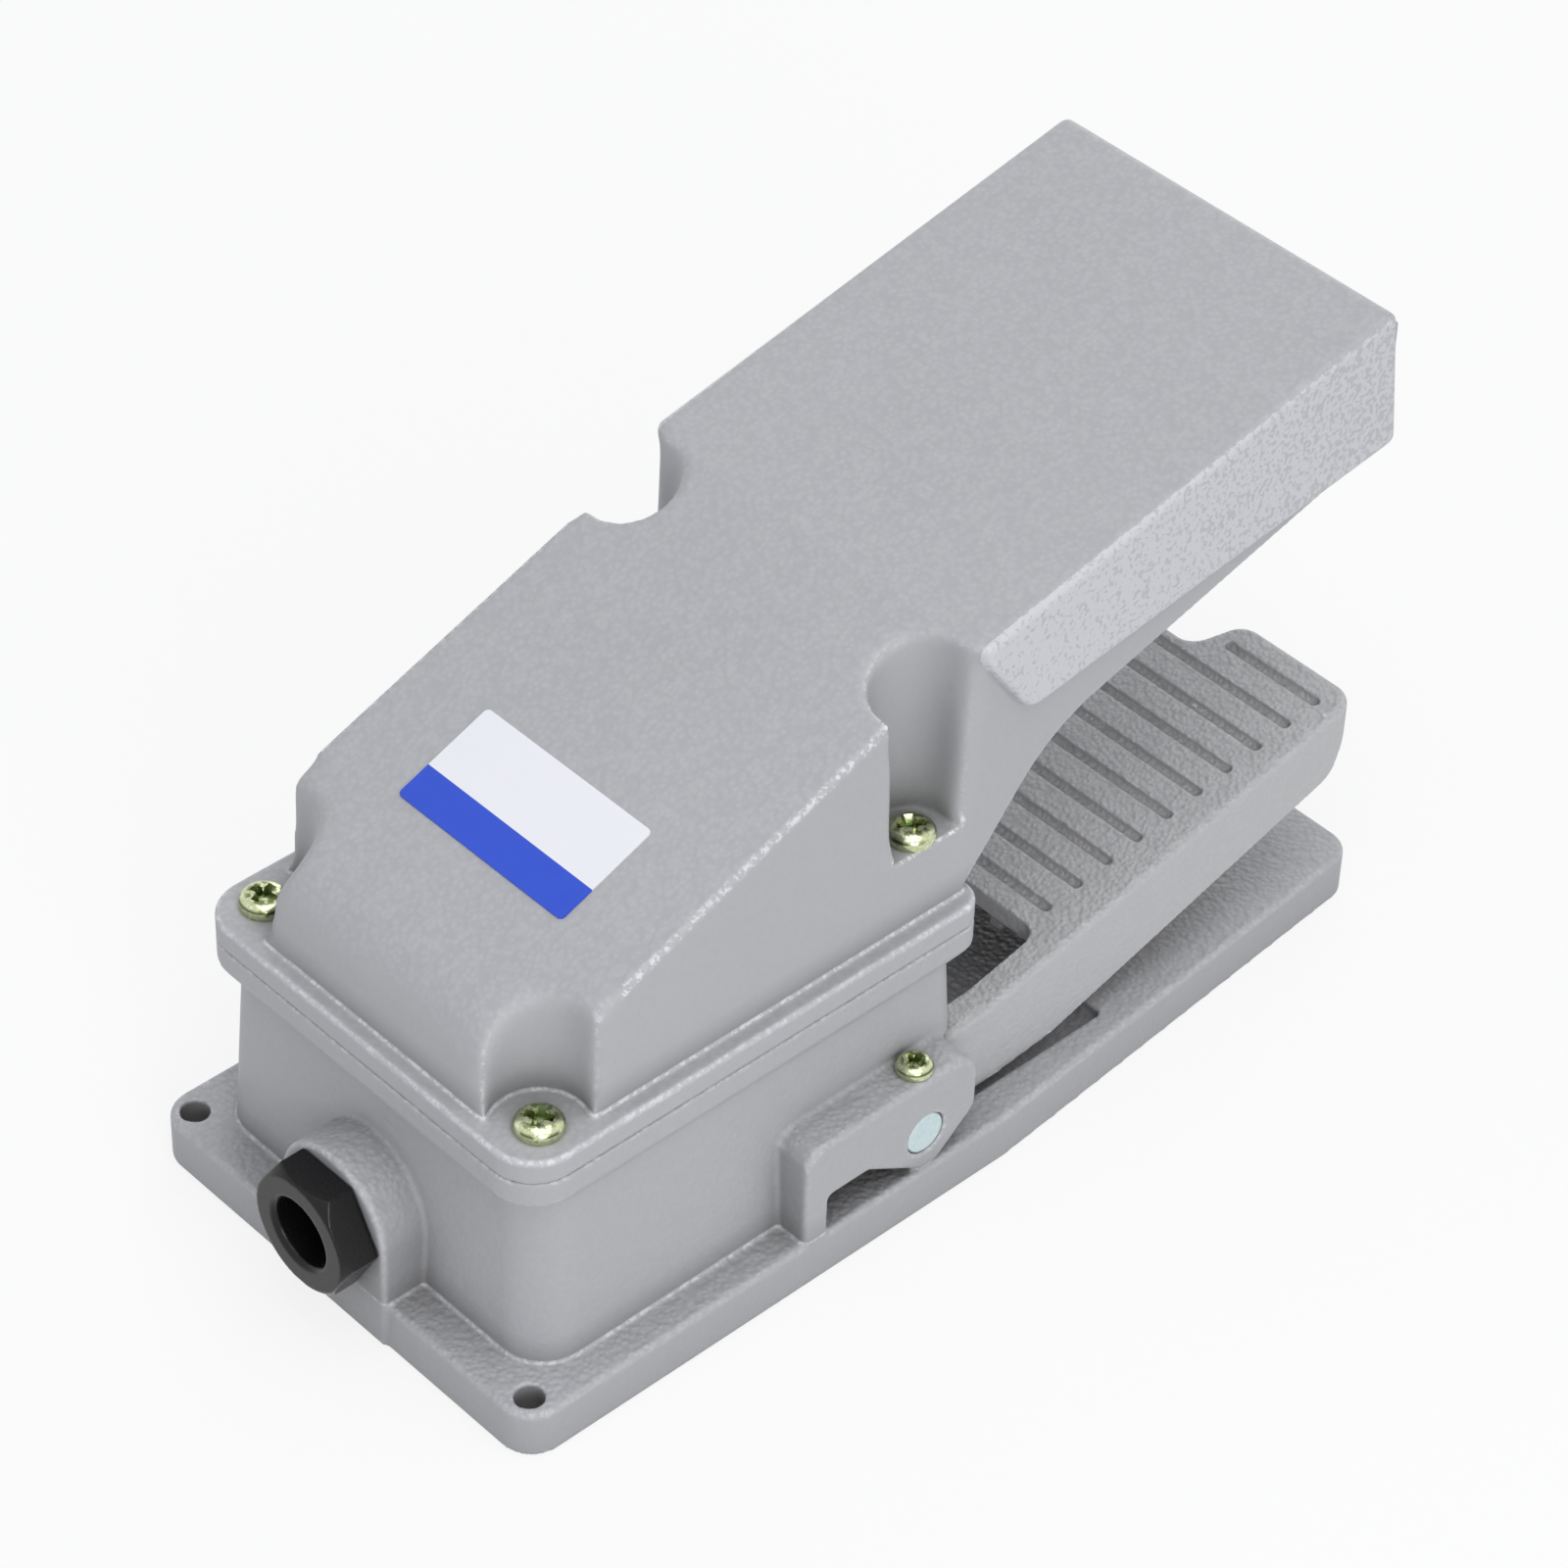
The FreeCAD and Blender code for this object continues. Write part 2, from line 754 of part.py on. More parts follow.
def cover_hump(inset, floor):
    """Sloping part of the cover, or its hollow when inset by the wall."""
    rise = guard_z(guard_front_y) - seat_height
    half = cover_half_width - inset
    rear = cover_rear - inset
    front = cover_front + inset
    upper_half = half - cover_side_draft * rise
    lower = box_plan(half, rear, front, 0, 0)
    upper = box_plan(upper_half, rear - cover_rear_draft * rise, front, 0, 0)
    walls = drafted(lower, seat_height, upper, seat_height + rise)
    drop = inset / math.cos(math.radians(cover_slope))
    slope = side_form([
        (rear + overcut, slope_z(rear + overcut) - drop, 0),
        (front - overcut, slope_z(front - overcut) - drop, 0),
        (front - overcut, seat_height - overcut, 0),
        (rear + overcut, seat_height - overcut, 0),
    ], -base_half_width, base_half_width)
    hump = walls.common(slope)

    def rear_top(edge):
        box = edge.BoundBox
        at_rear = box.YMin > rear_screw_y - rear_pocket_radius
        return at_rear and box.XLength > half and box.ZMin > seat_height + touch

    def side_top(edge):
        box = edge.BoundBox
        beside = abs(edge.CenterOfMass.x) > upper_half - touch
        return beside and box.ZMin > seat_height + touch and box.YMax > front + touch

    hump = softened(hump, cover_top_round - inset, rear_top)
    if inset:
        return fused([hump, plan_form(lower, floor, seat_height)])
    return softened(hump, cover_edge_round, side_top)


def guard_width(z):
    """Half width of the foot guard's side facets at a height."""
    return guard_top_half_width + guard_draft * (guard_z(guard_front_y) - z)


def guard_facets():
    """Upper part of the foot guard with a proud facet on each side."""
    top = guard_z(guard_front_y) + overcut
    rear = cover_front + facet_setback
    ahead = guard_front_y - guard_front_height
    lower = box_plan(guard_width(seat_height), rear, ahead, 0, 0)
    upper = box_plan(guard_width(top), rear, ahead, 0, 0)
    walls = drafted(lower, seat_height, upper, top)
    low_y = guard_start_y - facet_setback
    low_z = guard_z(guard_start_y) - facet_drop
    front_low = guard_front_y - guard_front_lean
    front_low_z = guard_z(guard_front_y) - guard_front_height
    profile = side_form([
        (guard_start_y, guard_z(guard_start_y), 0),
        (guard_front_y, guard_z(guard_front_y), guard_front_round),
        (front_low, front_low_z, guard_front_round),
        (low_y, low_z, facet_corner),
    ], -base_half_width, base_half_width)
    facets = walls.common(profile)
    return softened(facets, guard_edge_round,
                    lambda edge: abs(edge.CenterOfMass.x) > guard_top_half_width - overcut)


def guard_web():
    """Lower part of the foot guard: side walls that sweep down to the flange."""
    rear = cover_front + overcut
    front_low = guard_front_y - guard_front_lean / 2
    front_low_z = guard_z(guard_front_y) - guard_front_height
    sweep_y = rim_front - guard_sweep_reach
    sweep_z = front_low_z - (sweep_y - front_low) * math.tan(math.radians(guard_low_angle))
    return side_form([
        (rear, guard_z(rear) - web_top_drop, 0),
        (front_low, guard_z(guard_front_y) - web_top_drop, 0),
        (front_low, front_low_z, guard_front_round),
        (sweep_y, sweep_z, guard_sweep_round),
        (cover_front - touch, seat_height, 0),
        (rear, seat_height, 0),
    ], -web_half_width, web_half_width)


def guard_hollow():
    """Foot space under the guard, open to the front and below."""
    rear = cover_front
    ahead = guard_front_y - guard_front_height
    half = web_half_width - cover_wall
    drop = cover_wall / math.cos(math.radians(guard_slope))
    hollow = side_form([
        (rear, guard_z(rear) - drop, guard_roof_round),
        (ahead, guard_z(ahead) - drop, 0),
        (ahead, seat_height - overcut, 0),
        (rear, seat_height - overcut, 0),
    ], -half, half)
    return hollow.cut(fused(pair(pocket_form(cover_wall, seat_height - 2 * overcut))))


def pocket_form(wall, low):
    """Round part of a front pocket, or the material round it when grown by the wall."""
    top = guard_z(guard_front_y)
    radius = front_pocket_radius + wall
    start = Vector(front_screw_x, front_screw_y, low)
    return Part.makeCone(radius, radius + pocket_draft * (top - low), top - low, start)


def mouth_plan(radius):
    """Plan of a front pocket's opening to the side, flared at the front."""
    far = base_half_width + overcut
    front = front_screw_y - radius
    return [
        (front_screw_x, front, 0),
        (web_half_width - pocket_mouth_flare, front, pocket_mouth_round),
        (web_half_width + pocket_mouth_flare, front - pocket_mouth_flare, 0),
        (far, front - pocket_mouth_flare, 0),
        (far, front_screw_y + radius, 0),
        (front_screw_x, front_screw_y + radius, 0),
    ]


def front_pocket():
    """Deep pocket for a front screw, open at the side and above."""
    top = guard_z(guard_front_y)
    top_radius = front_pocket_radius + pocket_draft * (top - platform_height)
    mouth = drafted(mouth_plan(front_pocket_radius), platform_height, mouth_plan(top_radius), top)
    return fused([pocket_form(0, platform_height), mouth])


def rear_pocket():
    """Corner pocket for a rear screw, open above."""
    return pocket_column(0, seat_height)


def pocket_column(wall, low):
    """Round form of a rear pocket, or the material round it when grown by the wall."""
    top = slope_z(rear_screw_y - 2 * rear_pocket_radius)
    radius = rear_pocket_radius + wall
    start = Vector(rear_screw_x, rear_screw_y, low)
    return Part.makeCone(radius, radius + pocket_draft * (top - low), top - low, start)


def cover_hollow():
    """Room inside the cover, with walls left round the screw pockets."""
    hollow = cover_hump(cover_wall, rim_height - overcut)
    low = rim_height - 2 * overcut
    column = upright(screw_column_radius, front_screw_x, front_screw_y, low, platform_height)
    keep = pair(pocket_form(cover_wall, platform_height - cover_wall))
    keep += pair(column) + pair(pocket_column(cover_wall, low))
    return hollow.cut(fused(keep))


def cover():
    """Sloping cover and foot guard in one casting."""
    flange = plan_form(box_plan(rim_half_width, rim_rear, rim_front, box_corner, box_front_corner),
                       rim_height, seat_height)
    flange = softened(flange, flange_edge_round, lambda edge: edge.BoundBox.ZMin > seat_height - touch)
    guard = fused([guard_facets(), guard_web()]).cut(guard_hollow())
    body = fused([cover_hump(0, seat_height), guard, flange])
    cuts = pair(front_pocket()) + pair(rear_pocket())
    cuts.append(cover_hollow())
    hole = cover_screw_radius + seat_gap
    cuts += pair(through(hole, rear_screw_x, rear_screw_y, rim_height, seat_height))
    cuts += pair(through(hole, front_screw_x, front_screw_y, rim_height, platform_height))
    return body.cut(cuts).removeSplitter()


def label_plate():
    """Thin label on the sloping face."""
    plate = block(-label_length / 2, label_length / 2, 0, label_width, 0, label_thickness)
    low_y = cover_rear - label_low_setback + label_width * math.cos(math.radians(cover_slope)) / 2
    plate = softened(plate, 1.0, lambda edge: edge.BoundBox.ZLength > label_thickness / 2
                     and edge.BoundBox.XLength < 0.01)
    plate.rotate(Vector(0, 0, 0), Vector(1, 0, 0), -cover_slope)
    start = low_y - label_width * math.cos(math.radians(cover_slope))
    plate.translate(Vector(0, start, slope_z(start)))
    return plate


def pedal_outline():
    """Side outline of rail and arm, from the pivot to the toe edge."""
    front = pivot_y - pedal_reach
    knee_z = pivot_z - arm_boss_radius + pedal_knee_rise
    low_front = pedal_reach - pedal_toe_setback
    low_z = knee_z + (low_front - pedal_knee) * math.tan(math.radians(pedal_rail_angle))
    toe_z = rail_z(pedal_reach)
    past = 2 * overcut
    return [
        (pivot_y, pivot_z - arm_boss_radius, 0),
        (pivot_y - pedal_heel, pivot_z - arm_boss_radius, pedal_heel_round),
        (pivot_y - pedal_knee, knee_z, pedal_knee_round),
        (pivot_y - low_front, low_z, 2 * pedal_toe_round),
        (front + past, toe_z - pedal_front_edge - 0.4, pedal_toe_round),
        (front - past, toe_z - pedal_front_edge + pedal_toe_round, 0),
        (front - past, rail_z(pedal_reach + past), 0),
        (pivot_y - pedal_neck, rail_z(pedal_neck), pedal_neck_round),
        (pivot_y + 1.5, pivot_z + arm_boss_radius - 0.1, 0),
    ]


def pedal_plan():
    """Plan of the pedal with the scallop in its toe edge."""
    toe = pivot_y - pedal_reach
    rear = pivot_y + arm_boss_radius + 2
    sweep = scallop_half_width
    return [
        (-pedal_half_width, toe, pedal_corner),
        (-sweep - 1.5, toe, scallop_round),
        (-sweep + 3.0, toe + scallop_depth, scallop_round),
        (sweep - 3.0, toe + scallop_depth, scallop_round),
        (sweep + 1.5, toe, scallop_round),
        (pedal_half_width, toe, pedal_corner),
        (pedal_half_width, rear, 0),
        (-pedal_half_width, rear, 0),
    ]


def pedal_groove(index):
    """One grip groove with round ends, sunk half its width into the top face."""
    angle = math.radians(pedal_angle)
    along = groove_first + index * groove_pitch
    reach = pedal_reach - along * math.cos(angle)
    y = pivot_y - reach
    z = rail_z(reach)
    share = index / (groove_count - 1)
    half = pedal_half_width - groove_margin - (groove_margin_rear - groove_margin) * share
    spans = [(-half, half)]
    if index == 0:
        spans = [(-half, -groove_short_start), (groove_short_start, half)]
    pieces = []
    for start, end in spans:
        pieces.append(rod(groove_radius, (start, y, z), (end, y, z)))
        pieces.append(Part.makeSphere(groove_radius, Vector(start, y, z)))
        pieces.append(Part.makeSphere(groove_radius, Vector(end, y, z)))
    return pieces


def pedal():
    """Pedal casting: grooved plate, deep side rails and two pivot arms."""
    body = side_form(pedal_outline(), -pedal_half_width, pedal_half_width)
    body = body.common(plan_form(pedal_plan(), 0, 100))

    def top_rim(edge):
        box = edge.BoundBox
        reach = pivot_y - edge.CenterOfMass.y
        on_side = abs(edge.CenterOfMass.x) > pedal_half_width - touch and box.YLength > pedal_reach / 2
        on_toe = box.YMax < pivot_y - pedal_reach + scallop_depth + touch
        return (on_side or on_toe) and abs(edge.CenterOfMass.z - rail_z(reach)) < touch

    body = softened(body, pedal_edge_round, top_rim)
    left, right = ((side * pedal_half_width, pivot_y, pivot_z) for side in (-1, 1))
    boss = rod(arm_boss_radius, left, right)
    body = fused([body, boss])
    plate_rear = pivot_y - pedal_plate_rear
    under = pedal_plate / math.cos(math.radians(pedal_angle))
    lip = pedal_reach - pedal_toe_wall
    hollow = side_form([
        (plate_rear + overcut, rail_z(pedal_plate_rear - overcut) - under, 0),
        (pivot_y - lip, rail_z(lip) - under, pedal_toe_round),
        (pivot_y - lip, base_thickness, 0),
        (plate_rear + overcut, base_thickness, 0),
    ], -arm_inner, arm_inner)
    scallop_rear = pivot_y - pedal_reach + scallop_depth + 4.0
    toe_wall = plan_form([
        (-scallop_half_width - 6, pivot_y - pedal_reach - 4, 0),
        (scallop_half_width + 6, pivot_y - pedal_reach - 4, 0),
        (scallop_half_width, scallop_rear, 5.0),
        (-scallop_half_width, scallop_rear, 5.0),
    ], base_thickness, pivot_z + pedal_front_height + 5)
    hollow = hollow.cut(toe_wall)
    gap_rear = pivot_y + arm_boss_radius + overcut
    gap = plan_form([
        (-arm_inner, plate_rear, pedal_gap_round), (arm_inner, plate_rear, pedal_gap_round),
        (arm_inner, gap_rear, 0), (-arm_inner, gap_rear, 0),
    ], 0, rail_z(0) + arm_boss_radius + pedal_front_height)
    body = body.cut([hollow, gap])
    body = fused([body] + pedal_ribs(under) + [lever_pad_form(under)])
    cuts = [piece for index in range(groove_count) for piece in pedal_groove(index)]
    cuts += pair(rod(pin_radius + running_gap, (arm_inner - overcut, pivot_y, pivot_z),
                     (pedal_half_width + overcut, pivot_y, pivot_z)))
    cuts += [lever_screw_hole(reach) for reach in lever_screw_reaches()]
    return body.cut(cuts).removeSplitter()


def pedal_ribs(under):
    """Stiffening ribs under the plate, beside the trip lever."""
    start = pedal_plate_rear + 2 * overcut
    end = pedal_reach - pedal_toe_wall + overcut
    middle = (start + 3 * end) / 4
    rib = side_form([
        (pivot_y - start, rail_z(start) - under + 0.5, 0),
        (pivot_y - end, rail_z(end) - under + 0.5, 0),
        (pivot_y - end, rail_z(end) - under - 1.5, 0),
        (pivot_y - middle, rail_z(middle) - under - pedal_rib_depth, pedal_heel_round),
        (pivot_y - start, rail_z(start) - under - pedal_rib_depth, 0),
    ], pedal_rib_offset - pedal_rib / 2, pedal_rib_offset + pedal_rib / 2)
    return pair(rib)


def lever_pad_form(under):
    """Thick place under the plate that the trip lever is screwed to."""
    start = pedal_plate_rear + 3
    end = lever_foot_start + lever_foot_length + 3
    drop = under + lever_pad / math.cos(math.radians(pedal_angle))
    return side_form([
        (pivot_y - start, rail_z(start) - under + 0.5, 0),
        (pivot_y - end, rail_z(end) - under + 0.5, 0),
        (pivot_y - end, rail_z(end) - drop, 0),
        (pivot_y - start, rail_z(start) - drop, 0),
    ], -lever_pad_half_width, lever_pad_half_width)


def pad_point(reach, depth):
    """Point below the pad's face, at a reach forward of the pivot and a depth square to the plate."""
    angle = math.radians(pedal_angle)
    total = pedal_plate + lever_pad + depth
    return Vector(0, pivot_y - reach - total * math.sin(angle), rail_z(reach) - total * math.cos(angle))


def lever_screw_reaches():
    """Where the lever screws sit, forward of the pivot."""
    middle = lever_foot_start + lever_foot_length / 2
    return [middle - lever_screw_spacing / 2, middle + lever_screw_spacing / 2]


def lever_screw_hole(reach):
    """Threaded hole up into the pad."""
    start = pad_point(reach, 1.0)
    end = pad_point(reach, -lever_screw_grip - 2 * seat_gap)
    return rod(small_screw_radius + screw_gap, tuple(start), tuple(end))


def trip_lever():
    """Bent steel tongue from the pedal's pad through the box wall to the plunger and spring."""
    foot_rear = pad_point(lever_foot_start, 0)
    foot_front = pad_point(lever_foot_start + lever_foot_length, 0)
    foot_front_low = pad_point(lever_foot_start + lever_foot_length, lever_thickness)
    foot_rear_low = pad_point(lever_foot_start, lever_thickness)
    bend_y = pivot_y - lever_bend
    tail_y = pivot_y + lever_tail
    corners = [
        (tail_y, lever_bottom, 1.0),
        (tail_y, lever_top, 1.0),
        (bend_y, lever_top, 6.0),
        (foot_rear.y, foot_rear.z, 6.0),
        (foot_front.y, foot_front.z, 0),
        (foot_front_low.y, foot_front_low.z, 0),
        (foot_rear_low.y, foot_rear_low.z, 10.0),
        (bend_y, lever_bottom, 10.0),
    ]
    lever = side_form(corners, -lever_half_width, lever_half_width)
    peg = upright(spring_peg_radius, 0, spring_y, lever_top - 1, lever_top + spring_peg)
    lever = fused([lever, peg])
    holes = [rod(small_screw_radius + seat_gap, tuple(pad_point(reach, -1)), tuple(pad_point(reach, 6)))
             for reach in lever_screw_reaches()]
    return lever.cut(holes)


def lever_screws():
    """Two screws that clamp the trip lever to the pedal."""
    screws = []
    for reach in lever_screw_reaches():
        screw = small_screw(0, 0, 0, lever_thickness + lever_screw_grip, False)
        seat = pad_point(reach, lever_thickness)
        screw.rotate(Vector(0, 0, 0), Vector(1, 0, 0), 180 - pedal_angle)
        screw.translate(seat)
        screws.append(screw)
    return Part.makeCompound(screws)


def pivot_pin():
    """Pin through lug and pedal arm, on the +X side."""
    inner = (arm_inner + seat_gap, pivot_y, pivot_z)
    outer = (base_half_width - pin_recess, pivot_y, pivot_z)
    pin = rod(pin_radius, inner, outer)
    return pin.makeChamfer(pin_chamfer, [edge for edge in pin.Edges if edge.BoundBox.XLength < touch])


def set_screw():
    """Screw in the lug top that holds the pin, on the +X side."""
    length = lug_top_rise - pin_radius - 0.1
    return small_screw(set_screw_x, pivot_y, pivot_z + lug_top_rise, length)


def cover_screw_pair(x, y, seat):
    """Two cover screws whose threads end at the same depth in the box."""
    screw = pan_screw(x, y, seat, seat - rim_height + cover_screw_grip, cover_screw_radius,
                      cover_screw_head_radius, cover_screw_head)
    return Part.makeCompound(pair(screw))


def gland_nut():
    """Hexagon nut with a round bore, a chamfered face and a threaded shank."""
    radius = nut_across_flats / 2 / math.cos(math.radians(30))
    points = [Vector(radius * math.cos(math.radians(60 * k)), 0, radius * math.sin(math.radians(60 * k)))
              for k in range(6)]
    points.append(points[0])
    back = boss_face + seat_gap
    head = Part.Face(Part.makePolygon(points)).extrude(Vector(0, nut_head, 0))
    cone = Part.makeCone(radius + nut_head - nut_chamfer, radius - nut_chamfer, nut_head,
                         Vector(0, 0, 0), Vector(0, 1, 0))
    head = head.common(cone)
    head.translate(Vector(0, back, gland_height))
    shank = rod(gland_thread_radius - screw_gap, (0, boss_face - nut_shank, gland_height),
                (0, back + 1, gland_height))
    nut = fused([head, shank])
    bore = rod(nut_bore_radius, (0, boss_face - nut_shank - 1, gland_height),
               (0, back + nut_head + 1, gland_height))
    chamfer = nut_mouth_chamfer
    mouth = Part.makeCone(nut_bore_radius, nut_bore_radius + chamfer, chamfer,
                          Vector(0, back + nut_head - chamfer, gland_height), Vector(0, 1, 0))
    return nut.cut([bore, mouth])


def gland_ring(rear, front, outer_radius, bore_radius):
    """Round ring in the gland between two depths."""
    ring = rod(outer_radius, (0, front, gland_height), (0, rear, gland_height))
    return ring.cut(rod(bore_radius, (0, front - 1, gland_height), (0, rear + 1, gland_height)))


def gland_washer():
    """Slip washer between the nut and the grommet."""
    rear = boss_face - nut_shank - gland_face_gap
    return gland_ring(rear, rear - gland_washer_thickness, gland_thread_radius - gland_ring_gap,
                      nut_bore_radius + gland_washer_gap)


def gland_grommet():
    """Rubber grommet that grips the cable."""
    rear = boss_face - nut_shank - gland_washer_thickness - 2 * gland_face_gap
    front = boss_face - gland_thread_depth + gland_face_gap
    return gland_ring(rear, front, gland_thread_radius - gland_ring_gap, grommet_bore_radius)


def bracket_screw_places():
    """Where the bracket feet are screwed to the box floor."""
    x = bracket_half_width + bracket_foot / 2 + 0.5
    front = plunger_y + bracket_leg_front + bracket_screw_edge
    rear = plunger_y + bracket_rear - bracket_screw_edge
    return [(side * x, y) for side in (-1, 1) for y in (front, rear)]


def switch_bracket():
    """Folded steel bracket that stands over the trip lever."""
    low = base_thickness
    sheet = bracket_sheet
    half = bracket_half_width
    foot = half + bracket_foot
    front = plunger_y + bracket_leg_front
    rear = plunger_y + bracket_rear
    bend = bracket_bend
    inside = bend - sheet
    right = [
        (half, bracket_top, bend),
        (half, low + sheet, inside),
        (foot, low + sheet, 0),
        (foot, low, 0),
        (half - sheet, low, bend),
        (half - sheet, bracket_height, inside),
    ]
    left = [(-x, z, radius) for x, z, radius in reversed(right)]
    hat = front_form(right + left, front, rear)
    inner = half - bend - 0.5
    tongue = plan_form([
        (-inner, plunger_y - bracket_front, bend), (inner, plunger_y - bracket_front, bend),
        (inner, front + overcut, 0), (-inner, front + overcut, 0),
    ], bracket_height, bracket_top)
    peg = upright(spring_peg_radius, 0, spring_y, bracket_height - spring_peg, bracket_height + 0.5)
    bracket = fused([hat, tongue, peg])
    holes = [through(plunger_radius + 1.0, 0, plunger_y, bracket_height, bracket_top)]
    for x, y in bracket_screw_places():
        holes.append(through(small_screw_radius + seat_gap, x, y, low, low + sheet))
    holes += pair(through(block_screw_radius + screw_gap, block_screw_x, block_screw_y,
                          bracket_height, bracket_top))
    return bracket.cut(holes)


def bracket_screws():
    """Four screws through the bracket feet."""
    seat = base_thickness + bracket_sheet
    length = bracket_sheet + thread_reach
    screws = [small_screw(x, y, seat, length, False) for x, y in bracket_screw_places()]
    return Part.makeCompound(screws)


def rest_buffer():
    """Rubber buffer under the lever's tail, with a stem in the floor."""
    top = lever_bottom - 0.1
    stem = upright(buffer_stem_radius, 0, spring_y, base_thickness - buffer_stem, base_thickness + 0.5)
    pad = upright(buffer_radius, 0, spring_y, base_thickness, top)
    pad = pad.makeFillet(0.5, [edge for edge in pad.Edges if edge.BoundBox.ZMin > top - 0.01])
    return fused([stem, pad])


def terminal_y(upper):
    """Row of the terminals: the upper pair in front, the lower pair behind."""
    return plunger_y - terminal_offset if upper else plunger_y + terminal_offset


def strip_level(upper):
    return upper_strip_z if upper else lower_strip_z


def contact_strip(upper):
    """Fixed contact on the +X side: rivet inside, terminal outside."""
    z = strip_level(upper)
    y = terminal_y(upper)
    end = block_half_width + terminal_ledge - 0.5
    inner = block(strip_inner, block_half_width - strip_cross_outer, plunger_y - strip_half_width,
                  plunger_y + strip_half_width, z, z + strip_thickness)
    low, high = sorted((plunger_y - strip_half_width, y - strip_half_width))
    cross_inner = block_half_width - strip_cross_inner
    cross_outer = block_half_width - strip_cross_outer
    cross = block(cross_inner, cross_outer, low, high + 2 * strip_half_width, z, z + strip_thickness)
    outer = block(cross_inner, end, y - strip_half_width, y + strip_half_width,
                  z, z + strip_thickness)
    if upper:
        rivet = upright(rivet_radius, rivet_x, plunger_y, z - rivet_height, z + 0.5)
    else:
        rivet = upright(rivet_radius, rivet_x, plunger_y, z + 0.5, z + strip_thickness + rivet_height)
    strip = fused([inner, cross, outer, rivet])
    hole = through(terminal_screw_radius + screw_gap, terminal_x, y, z, z + strip_thickness)
    return strip.cut(hole)


def fixed_contacts(upper):
    return Part.makeCompound(pair(contact_strip(upper)))


def terminal_screws():
    """Four terminal screws on the fixed contacts."""
    screws = []
    for upper in (False, True):
        screw = pan_screw(terminal_x, terminal_y(upper), strip_level(upper) + strip_thickness,
                          strip_thickness + terminal_screw_grip, terminal_screw_radius,
                          terminal_screw_head_radius, terminal_screw_head, False)
        screws += pair(screw)
    return Part.makeCompound(screws)


def block_hollow():
    """Contact chamber, open at the rear for the lid."""
    half = block_half_width - block_wall
    return block(-half, half, block_front_y + block_solid_front, block_rear_y + 1,
                 block_base + block_floor, block_top - block_wall)


def block_body():
    """Moulded body of the contact block with its terminal ledges."""
    body = block(-block_half_width, block_half_width, block_front_y, block_rear_y, block_base, block_top)
    body = softened(body, 1.0, lambda edge: edge.BoundBox.ZLength > block_height - 1)
    ledges = []
    for upper in (False, True):
        z = strip_level(upper)
        y = terminal_y(upper)
        low = z - terminal_depth if upper else block_base + 0.2
        ledges += pair(block(block_half_width - 2, block_half_width + terminal_ledge,
                             y - strip_half_width - 0.8, y + strip_half_width + 0.8, low, z))
    body = fused([body] + ledges)
    cuts = [block_hollow()]
    for upper in (False, True):
        z = strip_level(upper)
        y = terminal_y(upper)
        cuts += pair(block(block_half_width - block_wall - 4, block_half_width + 0.01,
                           y - strip_half_width - 0.05, y + strip_half_width + 0.05,
                           z, z + strip_thickness + 0.05))
        cuts += pair(blind(terminal_screw_radius + screw_gap, terminal_x, y,
                           z - terminal_screw_grip - seat_gap, z))
    cuts += pair(through(block_screw_radius + seat_gap, block_screw_x, block_screw_y,
                         block_base, block_top))
    cuts.append(through(plunger_radius + running_gap, 0, plunger_y, block_base, block_base + block_floor))
    cuts.append(lid_form(0, overcut))
    for x, z in lid_screw_places():
        end = block_rear_y - block_lid_thickness - lid_screw_grip - seat_gap
        cuts.append(rod(lid_screw_radius + screw_gap, (x, end, z), (x, block_rear_y, z)))
    return body.cut(cuts).removeSplitter()


def lid_screw_places():
    """Two lid screws in the floor of the body."""
    x = block_half_width - lid_screw_inset
    return [(-x, block_base + lid_screw_inset), (x, block_base + lid_screw_inset)]


def lid_form(gap, past):
    """Form of the lid, smaller by a gap on its sides."""
    inset = lid_margin + gap
    half = block_half_width - inset
    front = block_rear_y - block_lid_thickness
    return block(-half, half, front, block_rear_y + past, block_base + inset, block_top - inset)


def block_lid():
    """Flat lid that closes the contact chamber."""
    front = block_rear_y - block_lid_thickness - overcut
    holes = [rod(lid_screw_radius + 2 * lid_gap, (x, front, z), (x, block_rear_y + overcut, z))
             for x, z in lid_screw_places()]
    return lid_form(lid_gap, 0).cut(holes)


def lid_screws():
    """Two small screws in the lid."""
    screws = []
    for x, z in lid_screw_places():
        screw = pan_screw(0, 0, 0, block_lid_thickness + lid_screw_grip, lid_screw_radius,
                          lid_screw_head_radius, lid_screw_head, False)
        screw.rotate(Vector(0, 0, 0), Vector(1, 0, 0), -90)
        screw.translate(Vector(x, block_rear_y, z))
        screws.append(screw)
    return Part.makeCompound(screws)


def block_screws():
    """Two long screws that hold the contact block on the bracket."""
    screw = pan_screw(block_screw_x, block_screw_y, block_top, block_height + bracket_sheet - 0.2,
                      block_screw_radius, block_screw_head_radius, block_screw_head, False)
    return Part.makeCompound(pair(screw))


def plunger():
    """Plunger with the carrier for the contact bridge."""
    tip = lever_top + seat_gap
    stem = upright(plunger_radius, 0, plunger_y, tip, bridge_z)
    stem = stem.makeFillet(1.2, [edge for edge in stem.Edges if edge.BoundBox.ZMax < tip + 0.01])
    half = carrier_half_width
    high = carrier_low + carrier_height
    carrier = block(-half, half, plunger_y - half, plunger_y + half, carrier_low, high)
    spindle_top = block_top - block_wall - plunger_travel - seat_gap
    spindle = upright(plunger_spindle_radius, 0, plunger_y, high - overcut, spindle_top)
    body = fused([stem, carrier, spindle])
    window_half = bridge_half_width + bridge_gap
    window = block(-half - overcut, half + overcut, plunger_y - window_half, plunger_y + window_half,
                   bridge_z, high - carrier_roof)
    return body.cut(window)


